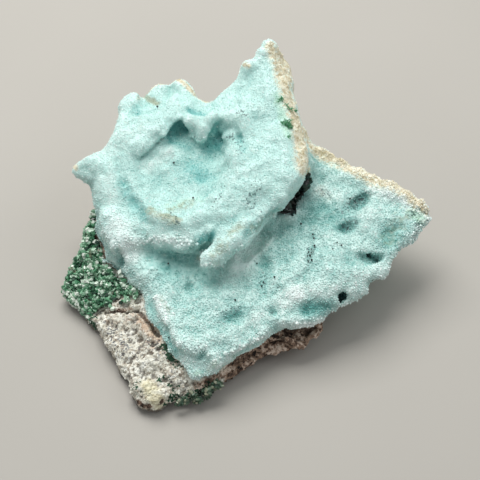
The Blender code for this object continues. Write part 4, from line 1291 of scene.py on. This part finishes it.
def sculpt_crust(skin):
    """Softens the solid's facets, adds lumps, pits, grooves and ridges, and notes where each colour goes."""
    skin.survey()
    softened = skin.strongest(SOFTENED)
    skin.points += (skin.smoothed(SOFTENING_ROUNDS) - skin.points) * softened[:, None]
    skin.write()
    lower = 1 - upper_plate(skin)
    skin.push(skin.lumps([(height + more * lower, size, start) for height, more, size, start in CRUST_LUMPS]))
    skin.survey()
    lip = skin.strongest(whole(LIPS))
    smooth = skin.strongest(whole(SMOOTH))
    height, size, start = LIP_LUMPS
    heights = skin.lumps([(height * lip, size, start)])
    # How dark the painted shade is at each place
    dark = np.zeros(len(skin.points))
    for start_spot, end_spot, radius, depth, darkness in PITS_WITH_PAINTED_SHADE:
        reach = skin.reach(start_spot, end_spot, radius)
        heights -= depth * reach
        dark = np.maximum(dark, darkness * reach)
    heights = skin.added(heights, RELIEF)
    # Tone of each place, with the painted shade and painted light of the tints
    tone = skin.added(np.full(len(skin.points), MIDDLE), TINTS_WITH_PAINTED_SHADE_AND_LIGHT)
    skin.push(heights)
    skin.survey()
    skin.store("dark", dark)
    skin.store("tone", tone)
    skin.store("tan", tan_rims(skin))
    for name, spots in (("stain", STAINS_AND_PAINTED_SHADE), ("mint", MINT), ("speckled", SPECKLED)):
        skin.store(name, skin.strongest(spots))
    skin.store("lip", rounded_step(lip, *LIP_EDGE))
    mark_crystals(skin, smooth)


def tan_rims(skin):
    """1 on the broken tan rims, falling smoothly to 0 beside them."""
    rims = np.zeros(len(skin.points))
    for start_spot, end_spot, width in TAN_RIMS:
        away = skin.distance(start_spot, end_spot)
        rims = np.maximum(rims, 1 - rounded_step(away, width * RIM_FULL, width * RIM_GONE))
    return rims


def mark_crystals(skin, smooth):
    """Notes how hollow each place is, which plate it is on, and how thickly crystals stand there."""
    # The hollow measure darkens the crust's hollows and whitens its crests: own colour and painted shade and
    # light
    hollow = sum(skin.hollowness(rounds) * weight for rounds, weight in CRUST_HOLLOWS)
    skin.store("hollow", MIDDLE + hollow * CRUST_HOLLOW_SHARE)
    upper = upper_plate(skin)
    crowded = rounded_step(skin.normals()[:, 2], *DRUSE_TILT) * (1 - SMOOTH_THINNING * smooth)
    skin.store("lower", 1 - upper)
    skin.store("fine_share", upper * crowded)
    skin.store("coarse_share", (1 - upper) * crowded)


def upper_plate(skin):
    """1 on the upper plate, 0 on the lower plate and between the two on the step."""
    level = LOWER_LEVEL + LOWER_CLIMB * skin.points[:, 1]
    return rounded_step(skin.points[:, 2] - level, *STEP)


def quartz_points():
    """The druse's crystals: low points and a short prism."""
    stubs = [stub_point(*stub) for stub in QUARTZ_STUBS]
    return shape_collection("quartz", [*stubs, quartz_point(*QUARTZ_PRISM)])


def build_crust():
    """The crust and its druses. Returns its surface, for what sits in it."""
    piece = fine_skin("chrysocolla_crust", "crust", CRUST_VOXEL)
    skin = Skin(piece, CRUST_ROUNDS)
    sculpt_crust(skin)
    druses = [scattered(*druse, piece, quartz_points()) for druse in DRUSES]
    finished(piece, crust_material(), "chrysocolla", "chrysocolla_crust")
    for druse, looks in zip(druses, DRUSE_LOOKS):
        finished(druse, druse_material(*looks), "chrysocolla")
    return skin.surface


def mark_rock(skin, back):
    """Notes where each colour of the rock goes, and where it is bare."""
    measures = {name: skin.strongest(spots) for name, spots in ROCK_COLOURS.items()}
    front_brown = rounded_step(skin.points[:, 0] + skin.lumps(FRONT_BROWN_EDGE), *FRONT_BROWN)
    back_brown = rounded_step(skin.lumps(BACK_BROWN_NOISE), *BACK_BROWN)
    measures["brown"] = np.maximum(measures["brown"], front_brown * (1 - back) + back_brown * back)
    rounds, weight = ROCK_HOLLOWS
    # Darker in hollows, partly own brown and partly painted shade; painted shade along the foot and under the
    # crust
    painted_foot_shade = 1 - rounded_step(skin.points[:, 2] + skin.lumps(PAINTED_FOOT_SHADE_EDGE), *PAINTED_FOOT_SHADE)
    brown_and_painted_shade = np.maximum(MIDDLE + skin.hollowness(rounds) * weight, painted_foot_shade)
    measures["cavity"] = np.maximum(measures["cavity"], brown_and_painted_shade)
    clear_of_floor = rounded_step(skin.points[:, 2], *GRAIN_CLEARANCE)
    measures["bare"] = rounded_step(skin.normals()[:, 2], *GRAIN_TILT) * clear_of_floor
    for name, values in measures.items():
        skin.store(name, values)


def build_rock():
    piece = fine_skin("host_rock", "rock", ROCK_VOXEL)
    skin = Skin(piece, ROCK_ROUNDS)
    skin.survey()
    back = rounded_step(skin.points[:, 1], *ROCK_BACK)
    heights = skin.lumps(ROCK_LUMPS) + back * (skin.lumps(ROCK_BACK_LUMPS) - ROCK_BACK_DRAWN_IN)
    skin.push(skin.added(heights, ROCK_RELIEF) - ROCK_DRAWN_IN)
    skin.points[:, 2] = np.maximum(skin.points[:, 2], LOWEST)
    skin.write()
    mark_rock(skin, back)
    generator = random.Random(SEED)
    chips = shape_collection("chip", [chip(generator, flatness) for flatness in CHIP_FLATNESS])
    grains = scattered(*ROCK_GRAINS, piece, chips)
    finished(piece, rock_material("rock", False), "rock", "host_rock")
    finished(grains, rock_material("rock_grain", True), "rock")


def draw_corner_back(skin):
    """Draws the malachite patch's front left corner back."""
    left = 1 - rounded_step(skin.points[:, 0], *CORNER_SIDES)
    in_front = np.clip(CORNER_LINE - skin.points[:, 1], 0, None)
    skin.points[:, 1] += CORNER_SHARE * left * in_front
    skin.write()


def build_malachite(node, name, slot, kind, spacing, sizes, seed, relief):
    """A bed of a CAD solid's shape with green crystals on it, except where its relief sinks it."""
    piece = fine_skin(node, f"{name}_bed", BED_VOXEL)
    skin = Skin(piece, BED_ROUNDS)
    draw_corner_back(skin)
    skin.survey()
    sunk = skin.strongest(whole(relief))
    skin.push(skin.added(skin.lumps(BED_LUMPS) - BED_DRAWN_IN, relief))
    clear_of_floor = rounded_step(skin.points[:, 2], *BED_CLEARANCE)
    skin.store("crystal_share", (1 - rounded_step(sunk, *SUNK_EDGE)) * clear_of_floor)
    # The hollow measure darkens the malachite's colour: painted shade
    skin.store("hollow", MIDDLE + skin.hollowness(BED_HOLLOW_ROUNDS))
    skin.store("chance", BED_TONE + skin.lumps(BED_TONE_LUMPS))
    blocks = [block(*blunt) for blunt in GREEN_BLOCKS]
    shapes = shape_collection(name, [*blocks, quartz_point(*GREEN_PRISM)])
    crystals = scattered(name, "crystal_share", spacing, sizes, MALACHITE_LEAN, seed, piece, shapes)
    material = malachite_material(*kind)
    finished(piece, material, slot, node)
    finished(crystals, material, slot)


def any_way(generator, reach):
    """A random vector, each part of it up to a reach either way."""
    return Vector([generator.uniform(-reach, reach) for _ in range(3)])


def build_sprays(surface):
    """Sprays of green needles that sit in the crust."""
    generator = random.Random(SEED)
    shape = bmesh.new()
    for spot, needles, length in SPRAYS:
        centre, normal = seen(surface, spot)
        for _ in range(needles):
            way = (normal * NEEDLE_RISE + any_way(generator, NEEDLE_SPREAD)).normalized()
            foot = centre + any_way(generator, NEEDLE_SCATTER) * length
            reach = length * generator.uniform(*NEEDLE_LENGTHS)
            turn = way.to_track_quat("Z", "Y").to_matrix().to_4x4()
            bmesh.ops.create_cone(
                shape, cap_ends=True, segments=NEEDLE_SIDES, radius1=NEEDLE_FOOT, radius2=NEEDLE_TIP,
                depth=reach, matrix=Matrix.Translation(foot + way * (reach * NEEDLE_SHOWN)) @ turn,
            )
    material = two_toned("spray_green", 0.3, NEEDLE_PATCH_SIZE, NEEDLE_COLOURS, IOR=1.65)
    finished(new_piece(written(shape, "green_sprays"), "green_sprays"), material, "malachite")


def build_dark_grains(surface):
    """Single dark grains that sit in the crust."""
    generator = random.Random(SEED + 1)
    shape = bmesh.new()
    for spot in DARK_GRAINS:
        centre, normal = seen(surface, spot)
        radius = generator.uniform(*DARK_GRAIN_RADII)
        middle = centre + normal * (DARK_GRAIN_LIFT + radius * DARK_GRAIN_SHOWN)
        bmesh.ops.create_icosphere(shape, subdivisions=1, radius=radius, matrix=Matrix.Translation(middle))
    material = two_toned("dark_grain", 0.35, DARK_PATCH_SIZE, DARK_GRAIN_COLOURS, IOR=1.6)
    finished(new_piece(written(shape, "dark_grains"), "dark_grains"), material, "dark_malachite")


# Stage

def build_floor():
    shape = bmesh.new()
    bmesh.ops.create_grid(shape, x_segments=1, y_segments=1, size=FLOOR_SIZE)
    mesh = bpy.data.meshes.new("floor")
    shape.to_mesh(mesh)
    shape.free()
    floor = new_piece(mesh, "floor")
    mesh.materials.append(two_toned("pale_floor", 0.75, FLOOR_PATCH_SIZE, FLOOR_COLOURS))


def area_light(name, place, size, power, colour):
    light = bpy.data.lights.new(name, "AREA")
    light.size = size
    light.energy = power
    light.color = colour
    lamp = bpy.data.objects.new(name, light)
    bpy.context.scene.collection.objects.link(lamp)
    lamp.location = place
    lamp.rotation_euler = Vector(place).to_track_quat("Z", "Y").to_euler()


def make_light():
    """Soft light from above and behind, a weak side light and an even fill, shown without a film look."""
    bpy.context.scene.view_settings.view_transform = "Standard"
    for lamp in LAMPS:
        area_light(*lamp)
    world = bpy.data.worlds.new("studio")
    bpy.context.scene.world = world
    world.use_nodes = True
    background = world.node_tree.nodes["Background"]
    background.inputs["Color"].default_value = FILL_COLOUR
    background.inputs["Strength"].default_value = FILL_STRENGTH


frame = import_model()
make_camera()
make_light()
build_floor()
crust_surface = build_crust()
build_rock()
for patch in MALACHITE_PATCHES:
    build_malachite(*patch)
build_sprays(crust_surface)
build_dark_grains(crust_surface)
